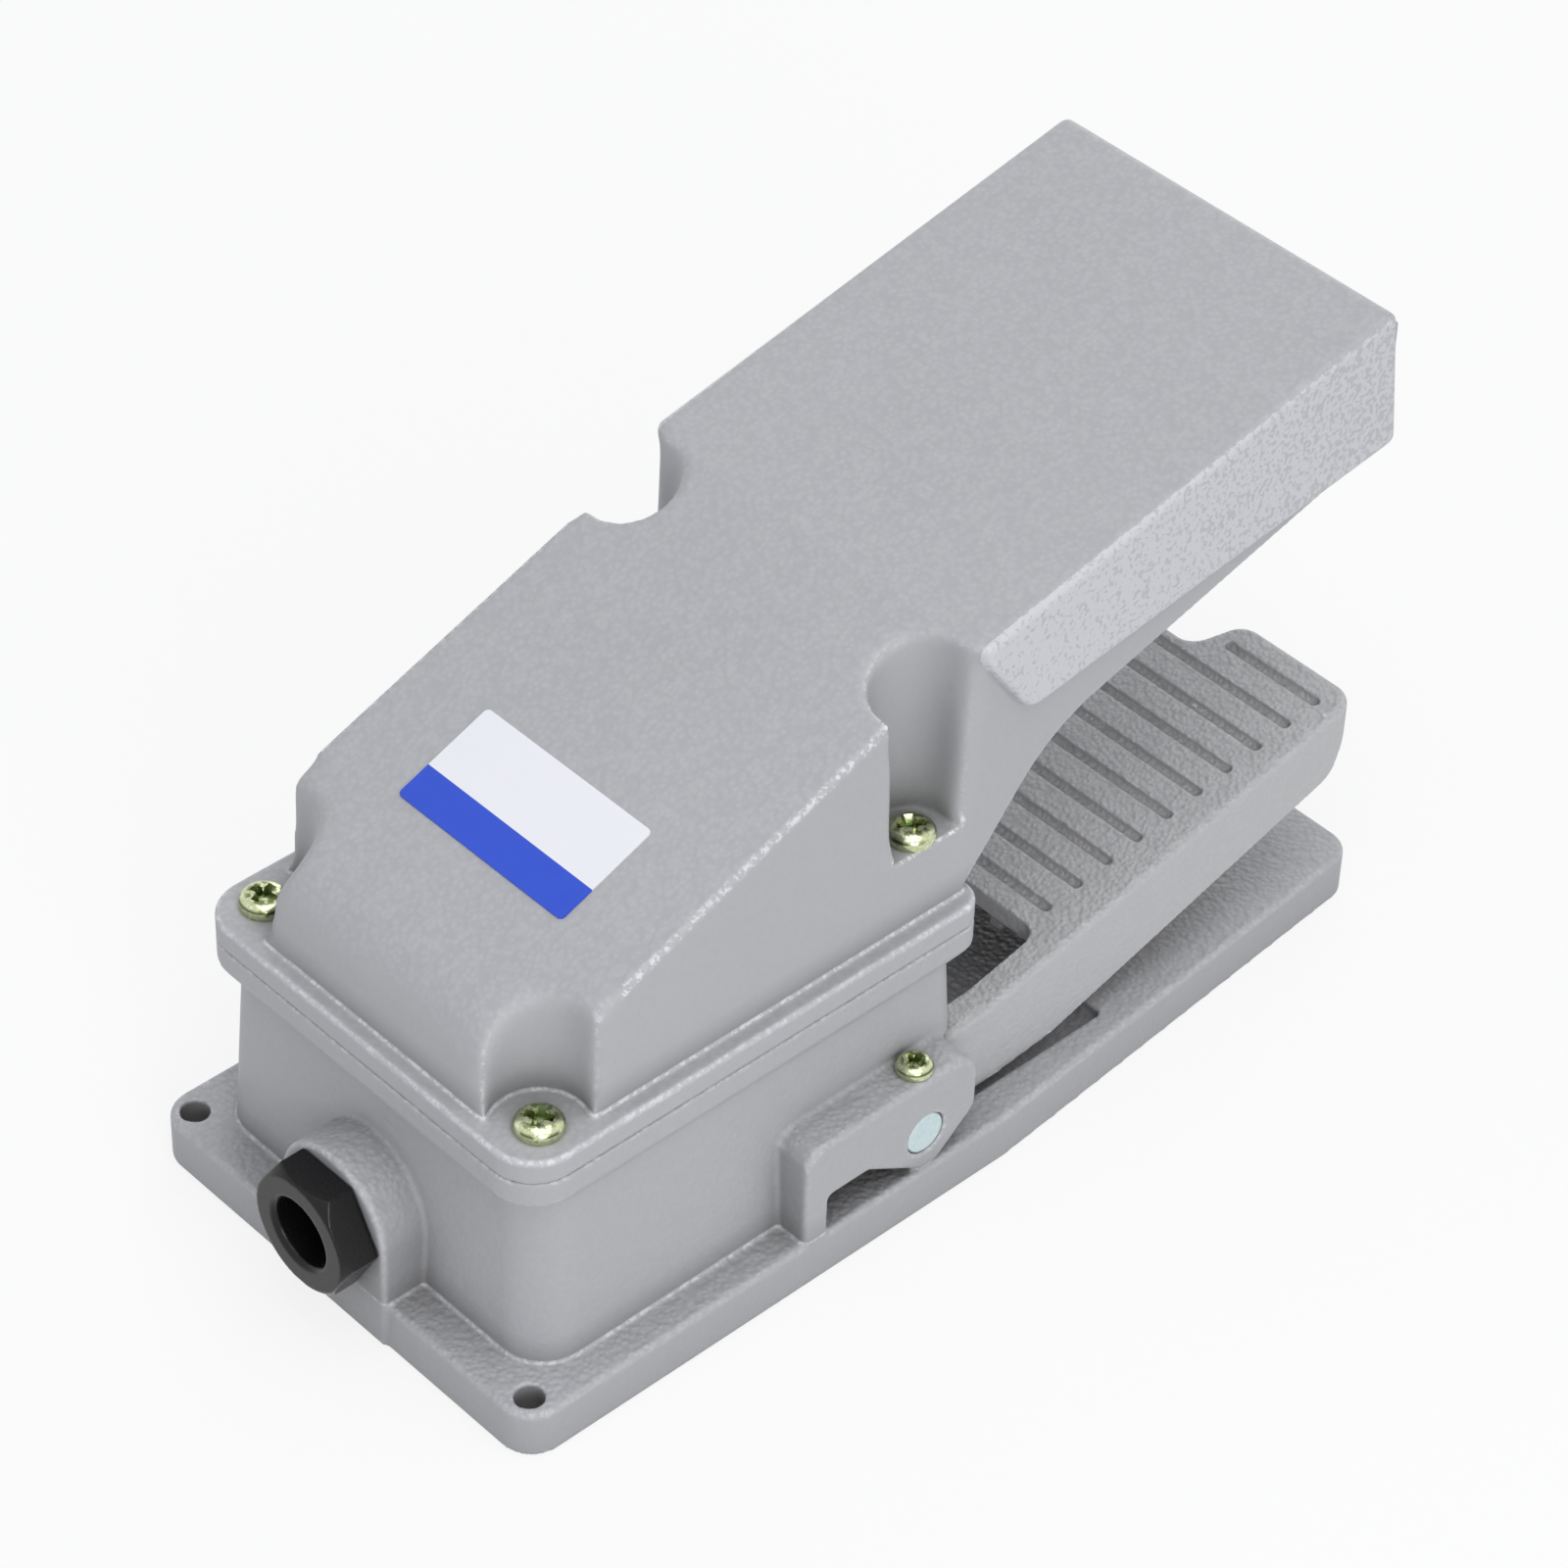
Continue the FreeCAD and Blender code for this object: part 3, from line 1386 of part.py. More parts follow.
def contact_bridge():
    """Moving bridge with a rivet on both faces at each end."""
    bar = block(-bridge_half_length, bridge_half_length, plunger_y - bridge_half_width,
                plunger_y + bridge_half_width, bridge_z, bridge_z + strip_thickness)
    rivets = pair(upright(rivet_radius, rivet_x, plunger_y, bridge_z - rivet_height,
                          bridge_z + strip_thickness + rivet_height))
    return fused([bar] + rivets)


def bridge_spring():
    """Spring that holds the bridge down in the carrier's window."""
    high = carrier_low + carrier_height - carrier_roof
    return coil(0, plunger_y, bridge_z + strip_thickness, high, bridge_spring_radius, bridge_spring_wire,
                spring_turns)


def plunger_spring():
    """Spring between the carrier and the roof of the contact block."""
    low = carrier_low + carrier_height
    return coil(0, plunger_y, low, block_top - block_wall, plunger_spring_radius, plunger_spring_wire,
                plunger_spring_turns)


def return_spring():
    """Spring that lifts the pedal: it pushes the lever's tail down."""
    return coil(0, spring_y, lever_top, bracket_height, spring_radius, spring_wire, spring_turns)


def earth_terminal():
    """Earth screw with its washer on the floor boss."""
    seat = base_thickness + earth_boss
    washer = upright(earth_washer_radius, earth_x, earth_y, seat, seat + earth_washer)
    top = seat + earth_washer
    washer = washer.cut(through(small_screw_radius + seat_gap, earth_x, earth_y, seat, top))
    length = earth_washer + earth_boss + earth_screw_end - seat_gap
    screw = small_screw(earth_x, earth_y, top, length)
    return Part.makeCompound([washer, screw])


pieces = {
    "base_housing": base_housing,
    "cover": cover,
    "cover_gasket": lambda: gasket_form(0.1, seat_gap),
    "rear_cover_screws": lambda: cover_screw_pair(rear_screw_x, rear_screw_y, seat_height),
    "front_cover_screws": lambda: cover_screw_pair(front_screw_x, front_screw_y, platform_height),
    "label_plate": label_plate,
    "pedal": pedal,
    "trip_lever": trip_lever,
    "lever_screws": lever_screws,
    "pivot_pin_right": pivot_pin,
    "pivot_pin_left": lambda: mirrored(pivot_pin()),
    "pin_set_screws": lambda: Part.makeCompound(pair(set_screw())),
    "gland_nut": gland_nut,
    "gland_washer": gland_washer,
    "gland_grommet": gland_grommet,
    "switch_bracket": switch_bracket,
    "bracket_screws": bracket_screws,
    "return_spring": return_spring,
    "rest_buffer": rest_buffer,
    "block_body": block_body,
    "block_lid": block_lid,
    "block_lid_screws": lid_screws,
    "block_screws": block_screws,
    "lower_contacts": lambda: fixed_contacts(False),
    "upper_contacts": lambda: fixed_contacts(True),
    "terminal_screws": terminal_screws,
    "plunger": plunger,
    "plunger_spring": plunger_spring,
    "contact_bridge": contact_bridge,
    "bridge_spring": bridge_spring,
    "earth_terminal": earth_terminal,
}

os.makedirs("parts", exist_ok=True)
for name, make in pieces.items():
    shape = make()
    print(name, len(shape.Solids), "solids", round(shape.Volume), "mm3", "valid", shape.isValid())
    shape.exportStep("parts/" + name + ".step")
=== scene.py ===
import json
import logging
import math
from dataclasses import dataclass, field
from enum import Enum
from typing import Any

import bmesh
import bpy
from mathutils import Matrix, Vector


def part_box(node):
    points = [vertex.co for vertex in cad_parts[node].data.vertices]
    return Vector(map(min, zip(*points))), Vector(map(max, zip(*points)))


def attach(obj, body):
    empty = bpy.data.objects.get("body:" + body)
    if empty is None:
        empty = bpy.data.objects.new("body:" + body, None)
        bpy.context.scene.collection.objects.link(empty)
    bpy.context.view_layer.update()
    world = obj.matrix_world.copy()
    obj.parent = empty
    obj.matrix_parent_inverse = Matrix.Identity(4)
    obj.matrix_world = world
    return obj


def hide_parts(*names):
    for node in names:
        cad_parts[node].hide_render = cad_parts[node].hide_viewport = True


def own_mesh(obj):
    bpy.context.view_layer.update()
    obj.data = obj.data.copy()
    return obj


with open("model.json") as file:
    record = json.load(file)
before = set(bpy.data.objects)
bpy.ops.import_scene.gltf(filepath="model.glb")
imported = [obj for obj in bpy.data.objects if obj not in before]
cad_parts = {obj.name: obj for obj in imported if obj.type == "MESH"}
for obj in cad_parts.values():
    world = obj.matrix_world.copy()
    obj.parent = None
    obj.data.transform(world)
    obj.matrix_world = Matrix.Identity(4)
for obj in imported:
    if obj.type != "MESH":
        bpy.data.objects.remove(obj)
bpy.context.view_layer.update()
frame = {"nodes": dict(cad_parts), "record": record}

log = logging.getLogger("foot_switch")

MM = 0.001

# Numbers of the Mix node's colour inputs and of its colour output
MIX_SHARE, MIX_FIRST, MIX_SECOND, MIX_RESULT = 0, 6, 7, 2

# Distance under which a CAD node's loose corners are one point
WELD = 0.002 * MM

# Strength of one pass of smoothing
SMOOTH_FACTOR = 0.5

WHITE = (1.0, 1.0, 1.0, 1.0)


class Maths(Enum):
    """Sums that a Math node does."""

    ADD = "ADD"
    SUBTRACT = "SUBTRACT"
    MULTIPLY = "MULTIPLY"
    MINIMUM = "MINIMUM"
    MAXIMUM = "MAXIMUM"
    ABSOLUTE = "ABSOLUTE"


class Axis(Enum):
    """An axis, with its unit vector."""

    X = (1.0, 0.0, 0.0)
    Y = (0.0, 1.0, 0.0)
    Z = (0.0, 0.0, 1.0)


@dataclass(frozen=True)
class Socket:
    """A node's output that takes part in sums."""

    graph: "Graph"
    end: bpy.types.NodeSocket

    def sum_with(self, kind: Maths, first: Any, second: Any = 0.0) -> "Socket":
        """Adds a Math node.

        Args:
            kind: the sum to do.
            first: its first value or socket.
            second: its second value or socket, where the sum has one.

        Returns:
            The result as a socket.
        """
        node = self.graph.node("ShaderNodeMath", {"operation": kind.value}, {0: first, 1: second})
        return Socket(self.graph, node.outputs[0])

    def __add__(self, other: Any) -> "Socket":
        """This plus the other."""
        return self.sum_with(Maths.ADD, self, other)

    def __radd__(self, other: Any) -> "Socket":
        """The other plus this."""
        return self.sum_with(Maths.ADD, other, self)

    def __sub__(self, other: Any) -> "Socket":
        """This less the other."""
        return self.sum_with(Maths.SUBTRACT, self, other)

    def __rsub__(self, other: Any) -> "Socket":
        """The other less this."""
        return self.sum_with(Maths.SUBTRACT, other, self)

    def __mul__(self, other: Any) -> "Socket":
        """This times the other."""
        return self.sum_with(Maths.MULTIPLY, self, other)

    def __rmul__(self, other: Any) -> "Socket":
        """The other times this."""
        return self.sum_with(Maths.MULTIPLY, other, self)

    def __abs__(self) -> "Socket":
        """This without its sign."""
        return self.sum_with(Maths.ABSOLUTE, self)

    def at_most(self, other: Any) -> "Socket":
        """The lower of this and the other."""
        return self.sum_with(Maths.MINIMUM, self, other)

    def at_least(self, other: Any) -> "Socket":
        """The higher of this and the other."""
        return self.sum_with(Maths.MAXIMUM, self, other)

    def between(self, low: float, high: float) -> "Socket":
        """Runs from zero at the low value to one at the high value, and stays there.

        Args:
            low: value that gives zero.
            high: value that gives one.

        Returns:
            The share as a socket.
        """
        node = self.graph.node(
            "ShaderNodeMapRange", {"clamp": True},
            {"Value": self, "From Min": low, "From Max": high, "To Min": 0.0, "To Max": 1.0},
        )
        return Socket(self.graph, node.outputs[0])


class Graph:
    """Node tree of one material or of the world."""

    def __init__(self, tree: bpy.types.NodeTree) -> None:
        """Starts from an empty tree.

        Args:
            tree: the tree to fill.
        """
        self.tree = tree
        tree.nodes.clear()

    def node(self, kind: str, settings: dict | None = None, inputs: dict | None = None) -> bpy.types.Node:
        """Adds a node.

        Args:
            kind: the node's type.
            settings: its own settings; "stops" holds a ramp's (place, colour) pairs.
            inputs: values or sockets by the name or number of its inputs.

        Returns:
            The node.
        """
        node = self.tree.nodes.new(kind)
        for key, value in (settings or {}).items():
            if key == "stops":
                self.fill_ramp(node.color_ramp, value)
            else:
                setattr(node, key, value)
        for key, value in (inputs or {}).items():
            target = node.inputs[key]
            if isinstance(value, Socket):
                self.tree.links.new(value.end, target)
            elif isinstance(value, bpy.types.NodeSocket):
                self.tree.links.new(value, target)
            else:
                target.default_value = value
        return node

    @staticmethod
    def fill_ramp(ramp: bpy.types.ColorRamp, stops: list[tuple[float, tuple]]) -> None:
        """Sets a ramp's stops.

        Args:
            ramp: the ramp.
            stops: place and colour of each stop.
        """
        while len(ramp.elements) < len(stops):
            ramp.elements.new(0.5)
        for element, (place, colour) in zip(ramp.elements, stops):
            element.position = place
            element.color = (*colour, 1.0)

    def out(self, node: bpy.types.Node, name: Any = 0) -> Socket:
        """One output of a node as a socket."""
        return Socket(self, node.outputs[name])

    def place(self, stretch: tuple[float, float, float] = (1.0, 1.0, 1.0)) -> Socket:
        """Object coordinates, in metres, stretched by a factor on each axis.

        Args:
            stretch: factor on each axis.

        Returns:
            The vector as a socket.
        """
        spot = self.out(self.node("ShaderNodeTexCoord"), "Object")
        if stretch == (1.0, 1.0, 1.0):
            return spot
        return self.out(self.node("ShaderNodeMapping", {}, {"Vector": spot, "Scale": stretch}))

    def noise(self, spot: Socket, size: float, detail: float = 2.0, rough: float = 0.5) -> Socket:
        """Cloudy noise from zero to one.

        Args:
            spot: where it is read.
            size: size of its lumps, in metres.
            detail: number of finer layers.
            rough: strength of the finer layers.

        Returns:
            The noise as a socket.
        """
        node = self.node(
            "ShaderNodeTexNoise", {},
            {"Vector": spot, "Scale": 1.0 / size, "Detail": detail, "Roughness": rough},
        )
        return self.out(node, "Fac")

    def cells(self, spot: Socket, size: float, smooth: float) -> Socket:
        """Rounded cells: zero at each centre and higher between them.

        Args:
            spot: where they are read.
            size: size of a cell, in metres.
            smooth: how softly the cells meet.

        Returns:
            The distance as a socket.
        """
        node = self.node(
            "ShaderNodeTexVoronoi", {"feature": "SMOOTH_F1"},
            {"Vector": spot, "Scale": 1.0 / size, "Smoothness": smooth},
        )
        return self.out(node, "Distance")

    def part(self, spot: Socket, axis: Axis) -> Socket:
        """One coordinate of a vector."""
        return self.out(self.node("ShaderNodeSeparateXYZ", {}, {"Vector": spot}), axis.name)

    def upward(self) -> Socket:
        """How far a face looks up, from minus one to one."""
        return self.part(self.out(self.node("ShaderNodeNewGeometry"), "Normal"), Axis.Z)

    def edges(self) -> Socket:
        """Half on flat faces, higher on outer edges and lower in corners."""
        return self.out(self.node("ShaderNodeNewGeometry"), "Pointiness")

    def shelter(self, reach: float) -> Socket:
        """One in the open, falling to zero deep in corners and gaps.

        Args:
            reach: how far away a wall still counts, in metres.

        Returns:
            The share as a socket.
        """
        node = self.node("ShaderNodeAmbientOcclusion", {"samples": 8}, {"Distance": reach})
        return self.out(node, "AO")

    @staticmethod
    def full(colour: Any) -> Any:
        """A colour with its alpha, or a socket as it is."""
        return (*colour, 1.0) if isinstance(colour, tuple) and len(colour) == 3 else colour

    def blend(self, share: Any, first: Any, second: Any) -> Socket:
        """Mixes two colours.

        Args:
            share: zero for the first, one for the second.
            first: colour or socket.
            second: colour or socket.

        Returns:
            The mixed colour as a socket.
        """
        node = self.node(
            "ShaderNodeMix", {"data_type": "RGBA"},
            {MIX_SHARE: share, MIX_FIRST: self.full(first), MIX_SECOND: self.full(second)},
        )
        return self.out(node, MIX_RESULT)

    def bump(self, height: Socket, depth: float, strength: float = 1.0) -> Socket:
        """Turns a height from zero to one into a normal.

        Args:
            height: the height.
            depth: depth in metres for a height of one.
            strength: share of the effect.

        Returns:
            The normal as a socket.
        """
        node = self.node(
            "ShaderNodeBump", {}, {"Height": height, "Distance": depth, "Strength": strength}
        )
        return self.out(node)

    def finish(self, shader: bpy.types.Node) -> None:
        """Joins a shader to the material's output."""
        self.node("ShaderNodeOutputMaterial", {}, {"Surface": shader.outputs[0]})

    def surface(self, inputs: dict) -> None:
        """Adds the main shader and joins it to the material's output.

        Args:
            inputs: values or sockets by the names of the shader's inputs.
        """
        self.finish(self.node("ShaderNodeBsdfPrincipled", {}, inputs))


def new_material(name: str) -> tuple[bpy.types.Material, Graph]:
    """Makes an empty node material.

    Args:
        name: its name.

    Returns:
        The material and its graph.
    """
    material = bpy.data.materials.new(name)
    material.use_nodes = True
    return material, Graph(material.node_tree)


@dataclass(frozen=True)
class PaintedLightPatch:
    """Box, the same on both sides, in which a pool of light is painted: a paler tone with painted sparkle
    flecks and a ragged border.
    """

    low: tuple[float, float, float]
    high: tuple[float, float, float]
    border: float = 0.15 * MM
    ragged: float = 1.0 * MM
    tear: float = 1.0 * MM

    def share(self, graph: Graph, spot: Socket) -> Socket:
        """One inside the box and zero outside.

        Args:
            graph: the material's graph.
            spot: object coordinates.

        Returns:
            The share as a socket.
        """
        tear = (graph.noise(spot, self.tear, 2.0) - 0.5) * self.ragged
        share = None
        for axis, low, high in zip(Axis, self.low, self.high):
            value = graph.part(spot, axis)
            value = (abs(value) if axis is Axis.X else value) + tear
            past_low = value.between(low - self.border, low)
            before_high = value.between(high + self.border, high)
            inside = past_low.at_most(before_high)
            share = inside if share is None else share.at_most(inside)
        return share

    def forward(self, graph: Graph, spot: Socket) -> Socket:
        """Runs from zero at the box's rear to one at its front."""
        return graph.part(spot, Axis.Y).between(self.high[1], self.low[1])


@dataclass(frozen=True)
class Foot:
    """Height where a casting's walls rise: a painted highlight bead at the foot under a band of painted
    shade.
    """

    height: float
    bead: float = 0.5 * MM
    band: float = 6.0 * MM
    lip: float = 0.08 * MM
    level: tuple[float, float] = (0.80, 0.97)

    def shares(self, graph: Graph, spot: Socket) -> tuple[Socket, Socket]:
        """Shares of the painted highlight bead and of the painted shade band.

        Args:
            graph: the material's graph.
            spot: object coordinates.

        Returns:
            The two shares as sockets.
        """
        above = graph.part(spot, Axis.Z) - self.height
        steep = 1.0 - graph.upward().between(*self.level)
        risen = above.between(0.0, self.lip)
        bead = risen * (1.0 - above.between(self.bead, self.bead * 1.5)) * steep
        band = risen * (1.0 - above.between(self.bead, self.band)) * steep
        return bead, band


@dataclass(frozen=True)
class CastPaint:
    """Grey paint with a fine pebble texture over a casting."""

    name: str
    slot: str = "grey_paint"
    body: tuple[float, float, float] = (0.440, 0.440, 0.455)
    hollow: tuple[float, float, float] = (0.385, 0.385, 0.400)
    # Near-white tone of the painted glints on edges and of the painted highlight bead at the foot of
    # walls
    edge: tuple[float, float, float] = (0.80, 0.80, 0.82)
    pebble: float = 1.15 * MM
    pebble_depth: float = 0.06 * MM
    orange_peel: float = 3.4 * MM
    warp: float = 2.6 * MM
    fine: float = 0.5 * MM
    cloud: float = 46 * MM
    cloud_tone: tuple[float, float, float] = (0.50, 0.50, 0.515)
    mottle: tuple[float, float] = (0.70, 1.15)
    level: tuple[float, float] = (0.25, 0.75)
    gloss: float = 0.42
    # Painted glints along sharp edges: pointiness range, strength, and the height and depth past which
    # they show
    glint_sharpness: tuple[float, float] = (0.512, 0.545)
    glint_strength: float = 0.85
    glint_above: float = -1.0
    glint_lip: float = 0.3 * MM
    glint_behind: float = -1.0
    glint_fade: float = 4 * MM
    fine_below: float = -1.0
    fine_fade: float = 0.5 * MM
    speck: float = 1.25 * MM
    speck_range: tuple[float, float] = (0.50, 0.55)
    # Painted shade in concave corners and creases: a darker tone where the surface turns inward
    sunk: tuple[float, float] = (0.44, 0.49)
    sunk_tone: tuple[float, float, float] = (0.22, 0.22, 0.225)
    sunk_share: float = 0.40
    # Painted shade: a dark tone laid in corners, gaps and under other parts, by how closed in each point
    # is
    shade_tone: tuple[float, float, float] = (0.10, 0.10, 0.095)
    shade_reach: float = 24 * MM
    shade_range: tuple[float, float] = (0.14, 0.70)
    shade_share: float = 0.80
    # Painted shade band and painted highlight bead at the foot of walls
    foot: Foot | None = None
    foot_shade: float = 0.28
    bead_range: tuple[float, float] = (0.30, 0.55)
    # Painted light patch: a paler tone with painted sparkle flecks that thin out towards the rear
    patch: PaintedLightPatch | None = None
    lit_patch_tone: tuple[float, float, float] = (0.57, 0.57, 0.59)
    fleck: float = 0.95 * MM
    fleck_range: tuple[float, float] = (0.32, 0.41)
    fleck_thinning: float = 0.13

    def edge_glints(self, graph: Graph, spot: Socket, edges: Socket, speck: Socket) -> Socket:
        """Share of painted glints along the edges, where they would catch the light.

        Args:
            graph: the material's graph.
            spot: object coordinates.
            edges: how sharp each edge is.
            speck: noise that breaks the bright line up.

        Returns:
            The share as a socket.
        """
        rise, back = graph.part(spot, Axis.Z), graph.part(spot, Axis.Y)
        glinting = edges.between(*self.glint_sharpness) * rise.between(self.glint_above - self.glint_lip, self.glint_above)
        glinting = glinting * (back.between(self.glint_behind - self.glint_fade, self.glint_behind) * 0.8 + 0.2)
        steady = 1.0 - rise.between(self.fine_below, self.fine_below + self.fine_fade)
        return glinting * (speck * (self.glint_strength * (1.0 - steady * 0.55)) + 0.06 + steady * 0.20)

    def with_light_patch(self, graph: Graph, spot: Socket, tone: Socket) -> Socket:
        """The paint's tone with the painted light patch and its painted sparkle flecks laid in.

        Args:
            graph: the material's graph.
            spot: object coordinates.
            tone: the tone outside the patch.

        Returns:
            The tone as a socket.
        """
        inside = self.patch.share(graph, spot)
        flecks = graph.noise(spot, self.fleck, 1.0)
        flecks = flecks - self.patch.forward(graph, spot) * self.fleck_thinning
        share = flecks.between(*self.fleck_range) * 0.85 + 0.15
        return graph.blend(inside, tone, graph.blend(share, self.body, self.lit_patch_tone))

    def material(self) -> bpy.types.Material:
        """Pebbled paint with painted glints where edges would catch the light, a painted highlight and
        painted shade at the foot of walls, painted shade in corners, gaps and under parts, and a painted
        light patch.

        Returns:
            The material.
        """
        material, graph = new_material(self.name)
        spot = graph.place()
        warp = graph.noise(spot, self.warp, 2.0)
        lumps = graph.cells(spot, self.pebble, 0.6)
        peel = graph.noise(spot, self.orange_peel, 3.0)
        fine = graph.noise(spot, self.fine, 3.0, 0.6)
        cloud = graph.noise(spot, self.cloud, 3.0)
        level = graph.upward().between(*self.level) * 0.75 + 0.25
        relief = (1.0 - lumps) * 0.7 + warp * 0.35 + peel * 0.5 + fine * 0.12
        edges = graph.edges()
        sunk = 1.0 - edges.between(*self.sunk)
        speck = graph.noise(spot, self.speck, 2.0, 0.65).between(*self.speck_range)
        open_share = graph.shelter(self.shade_reach)
        buried = 1.0 - open_share.between(*self.shade_range)
        mottle = (relief.between(*self.mottle) - 0.5) * level + 0.5
        tone = graph.blend(mottle, self.hollow, self.body)
        tone = graph.blend((cloud - 0.5) * 0.30 + 0.10, tone, self.cloud_tone)
        # painted light patch with painted sparkle
        if self.patch:
            tone = self.with_light_patch(graph, spot, tone)
        # painted shade in concave corners and creases
        tone = graph.blend(sunk * self.sunk_share, tone, self.sunk_tone)
        # painted shade in corners, gaps and under other parts
        tone = graph.blend(buried * self.shade_share, tone, self.shade_tone)
        if self.foot:
            bead, band = self.foot.shares(graph, spot)
            # painted shade band on the wall just above the foot
            tone = graph.blend(band * self.foot_shade, tone, self.shade_tone)
            # painted highlight bead along the foot, left out where it is closed in
            seen = bead * open_share.between(*self.bead_range)
            tone = graph.blend(seen * (speck * 0.30 + 0.30), tone, self.edge)
        # painted glints along the edges
        tone = graph.blend(self.edge_glints(graph, spot, edges, speck), tone, self.edge)
        graph.surface({
            "Base Color": tone,
            "Roughness": self.gloss + peel * 0.10 + cloud * 0.08,
            "Specular IOR Level": 0.5,
            "Normal": graph.bump(relief * level, self.pebble_depth * 4, 0.85),
        })
        return material


@dataclass(frozen=True)
class Plating:
    """Zinc plating with a faint play of colour."""

    name: str
    slot: str
    tones: tuple[tuple[float, float, float], ...]
    patch: float = 2.2 * MM
    ramp_start: float = 0.32
    ramp_width: float = 0.36
    grain: float = 0.35 * MM
    grain_tone: tuple[float, float, float] = (0.30, 0.30, 0.27)
    grain_share: float = 0.22
    scuff: float = 0.8 * MM
    scuff_stretch: tuple[float, float, float] = (1.0, 1.0, 6.0)
    low_rough: float = 0.22
    high_rough: float = 0.42
    depth: float = 0.02 * MM
    # Share and tone of the painted dark reflections; the same dark tone paints the shade in recesses
    dark: float = 0.22
    dark_tone: tuple[float, float, float] = (0.30, 0.30, 0.27)
    ring: float = 3.0 * MM
    ring_rise: tuple[float, float] = (0.22, 0.38)
    ring_fall: tuple[float, float] = (0.52, 0.72)
    crown: float = 1.3 * MM
    crown_rise: tuple[float, float] = (0.86, 0.97)
    sunk: tuple[float, float] = (0.40, 0.50)
    # Share of painted shade in concave corners such as the cross recess
    hollow: float = 0.0

    def blotches(self, graph: Graph, spot: Socket) -> Socket:
        """Share of the dark reflections round a screw head and on its crown.

        Args:
            graph: the material's graph.
            spot: object coordinates.

        Returns:
            The share as a socket.
        """
        slant = graph.upward()
        ring = slant.between(*self.ring_rise) * (1.0 - slant.between(*self.ring_fall))
        ring = ring * graph.noise(spot, self.ring, 0.0).between(0.36, 0.50)
        crown = slant.between(*self.crown_rise) * graph.noise(spot, self.crown, 1.0).between(0.44, 0.54)
        return ring.at_least(crown * 0.85)

    def material(self) -> bpy.types.Material:
        """Metal whose hue drifts from patch to patch, with painted dark reflections on the head and
        painted shade in its recesses.

        Returns:
            The material.
        """
        material, graph = new_material(self.name)
        spot = graph.place()
        step = self.ramp_width / (len(self.tones) - 1)
        stops = [(self.ramp_start + step * i, tone) for i, tone in enumerate(self.tones)]
        drift = graph.noise(spot, self.patch, 3.0, 0.6)
        ramp = graph.node("ShaderNodeValToRGB", {"stops": stops}, {"Fac": drift})
        grain = graph.noise(spot, self.grain, 3.0, 0.65)
        scuff = graph.noise(graph.place(self.scuff_stretch), self.scuff, 2.0)
        sunk = 1.0 - graph.edges().between(*self.sunk)
        tone = graph.blend(grain.between(0.35, 0.75) * self.grain_share, graph.out(ramp), self.grain_tone)
        # painted dark reflections round the head and on its crown
        tone = graph.blend(self.blotches(graph, spot) * self.dark, tone, self.dark_tone)
        graph.surface({
            # painted shade in the recesses
            "Base Color": graph.blend(sunk * self.hollow, tone, self.dark_tone),
            "Metallic": 1.0,
            "Roughness": self.low_rough + scuff * (self.high_rough - self.low_rough),
            "Normal": graph.bump(grain + scuff, self.depth),
        })
        return material


@dataclass(frozen=True)
class Grain:
    """Plain finish with grain: moulding, rubber, strip or wire."""

    name: str
    slot: str
    low: tuple[float, float, float]
    high: tuple[float, float, float]
    metal: float = 0.0
    rough: float = 0.45
    spread: float = 0.15
    grain: float = 0.8 * MM
    cloud: float = 9 * MM
    depth: float = 0.02 * MM
    stretch: tuple[float, float, float] = (1.0, 1.0, 1.0)
    shine: float = 0.5

    def material(self) -> bpy.types.Material:
        """Two tones over fine grain and broad clouds.

        Returns:
            The material.
        """
        material, graph = new_material(self.name)
        spot = graph.place(self.stretch)
        grain = graph.noise(spot, self.grain, 3.0, 0.6)
        cloud = graph.noise(graph.place(), self.cloud, 2.0)
        graph.surface({
            "Base Color": graph.blend(grain * 0.6 + cloud * 0.4, self.low, self.high),
            "Metallic": self.metal,
            "Specular IOR Level": self.shine,
            "Roughness": self.rough + (grain - 0.5) * self.spread + (cloud - 0.5) * self.spread,
            "Normal": graph.bump(grain, self.depth),
        })
        return material


@dataclass(frozen=True)
class LabelFilm:
    """White film with a blue band along its lower edge."""

    split: float
    name: str = "label_film"
    slot: str = "label_film"
    white: tuple[float, float, float] = (0.86, 0.86, 0.89)
    white_shade: tuple[float, float, float] = (0.79, 0.795, 0.84)
    blue: tuple[float, float, float] = (0.013, 0.060, 0.55)
    blue_shade: tuple[float, float, float] = (0.020, 0.085, 0.62)
    border: float = 0.05 * MM
    grain: float = 0.30 * MM
    cloud: float = 7 * MM
    depth: float = 0.006 * MM

    def material(self) -> bpy.types.Material:
        """Printed film: two flat fields with paper grain and a soft gloss.

        Returns:
            The material.
        """
        material, graph = new_material(self.name)
        spot = graph.place()
        band = graph.part(spot, Axis.Y).between(self.split - self.border, self.split + self.border)
        grain = graph.noise(spot, self.grain, 3.0)
        cloud = graph.noise(spot, self.cloud, 2.0)
        shade = grain * 0.5 + cloud * 0.5
        white = graph.blend(shade, self.white, self.white_shade)
        blue = graph.blend(shade, self.blue, self.blue_shade)
        graph.surface({
            "Base Color": graph.blend(band, white, blue),
            "Roughness": 0.34 + cloud * 0.12,
            "Normal": graph.bump(grain, self.depth),
        })
        return material


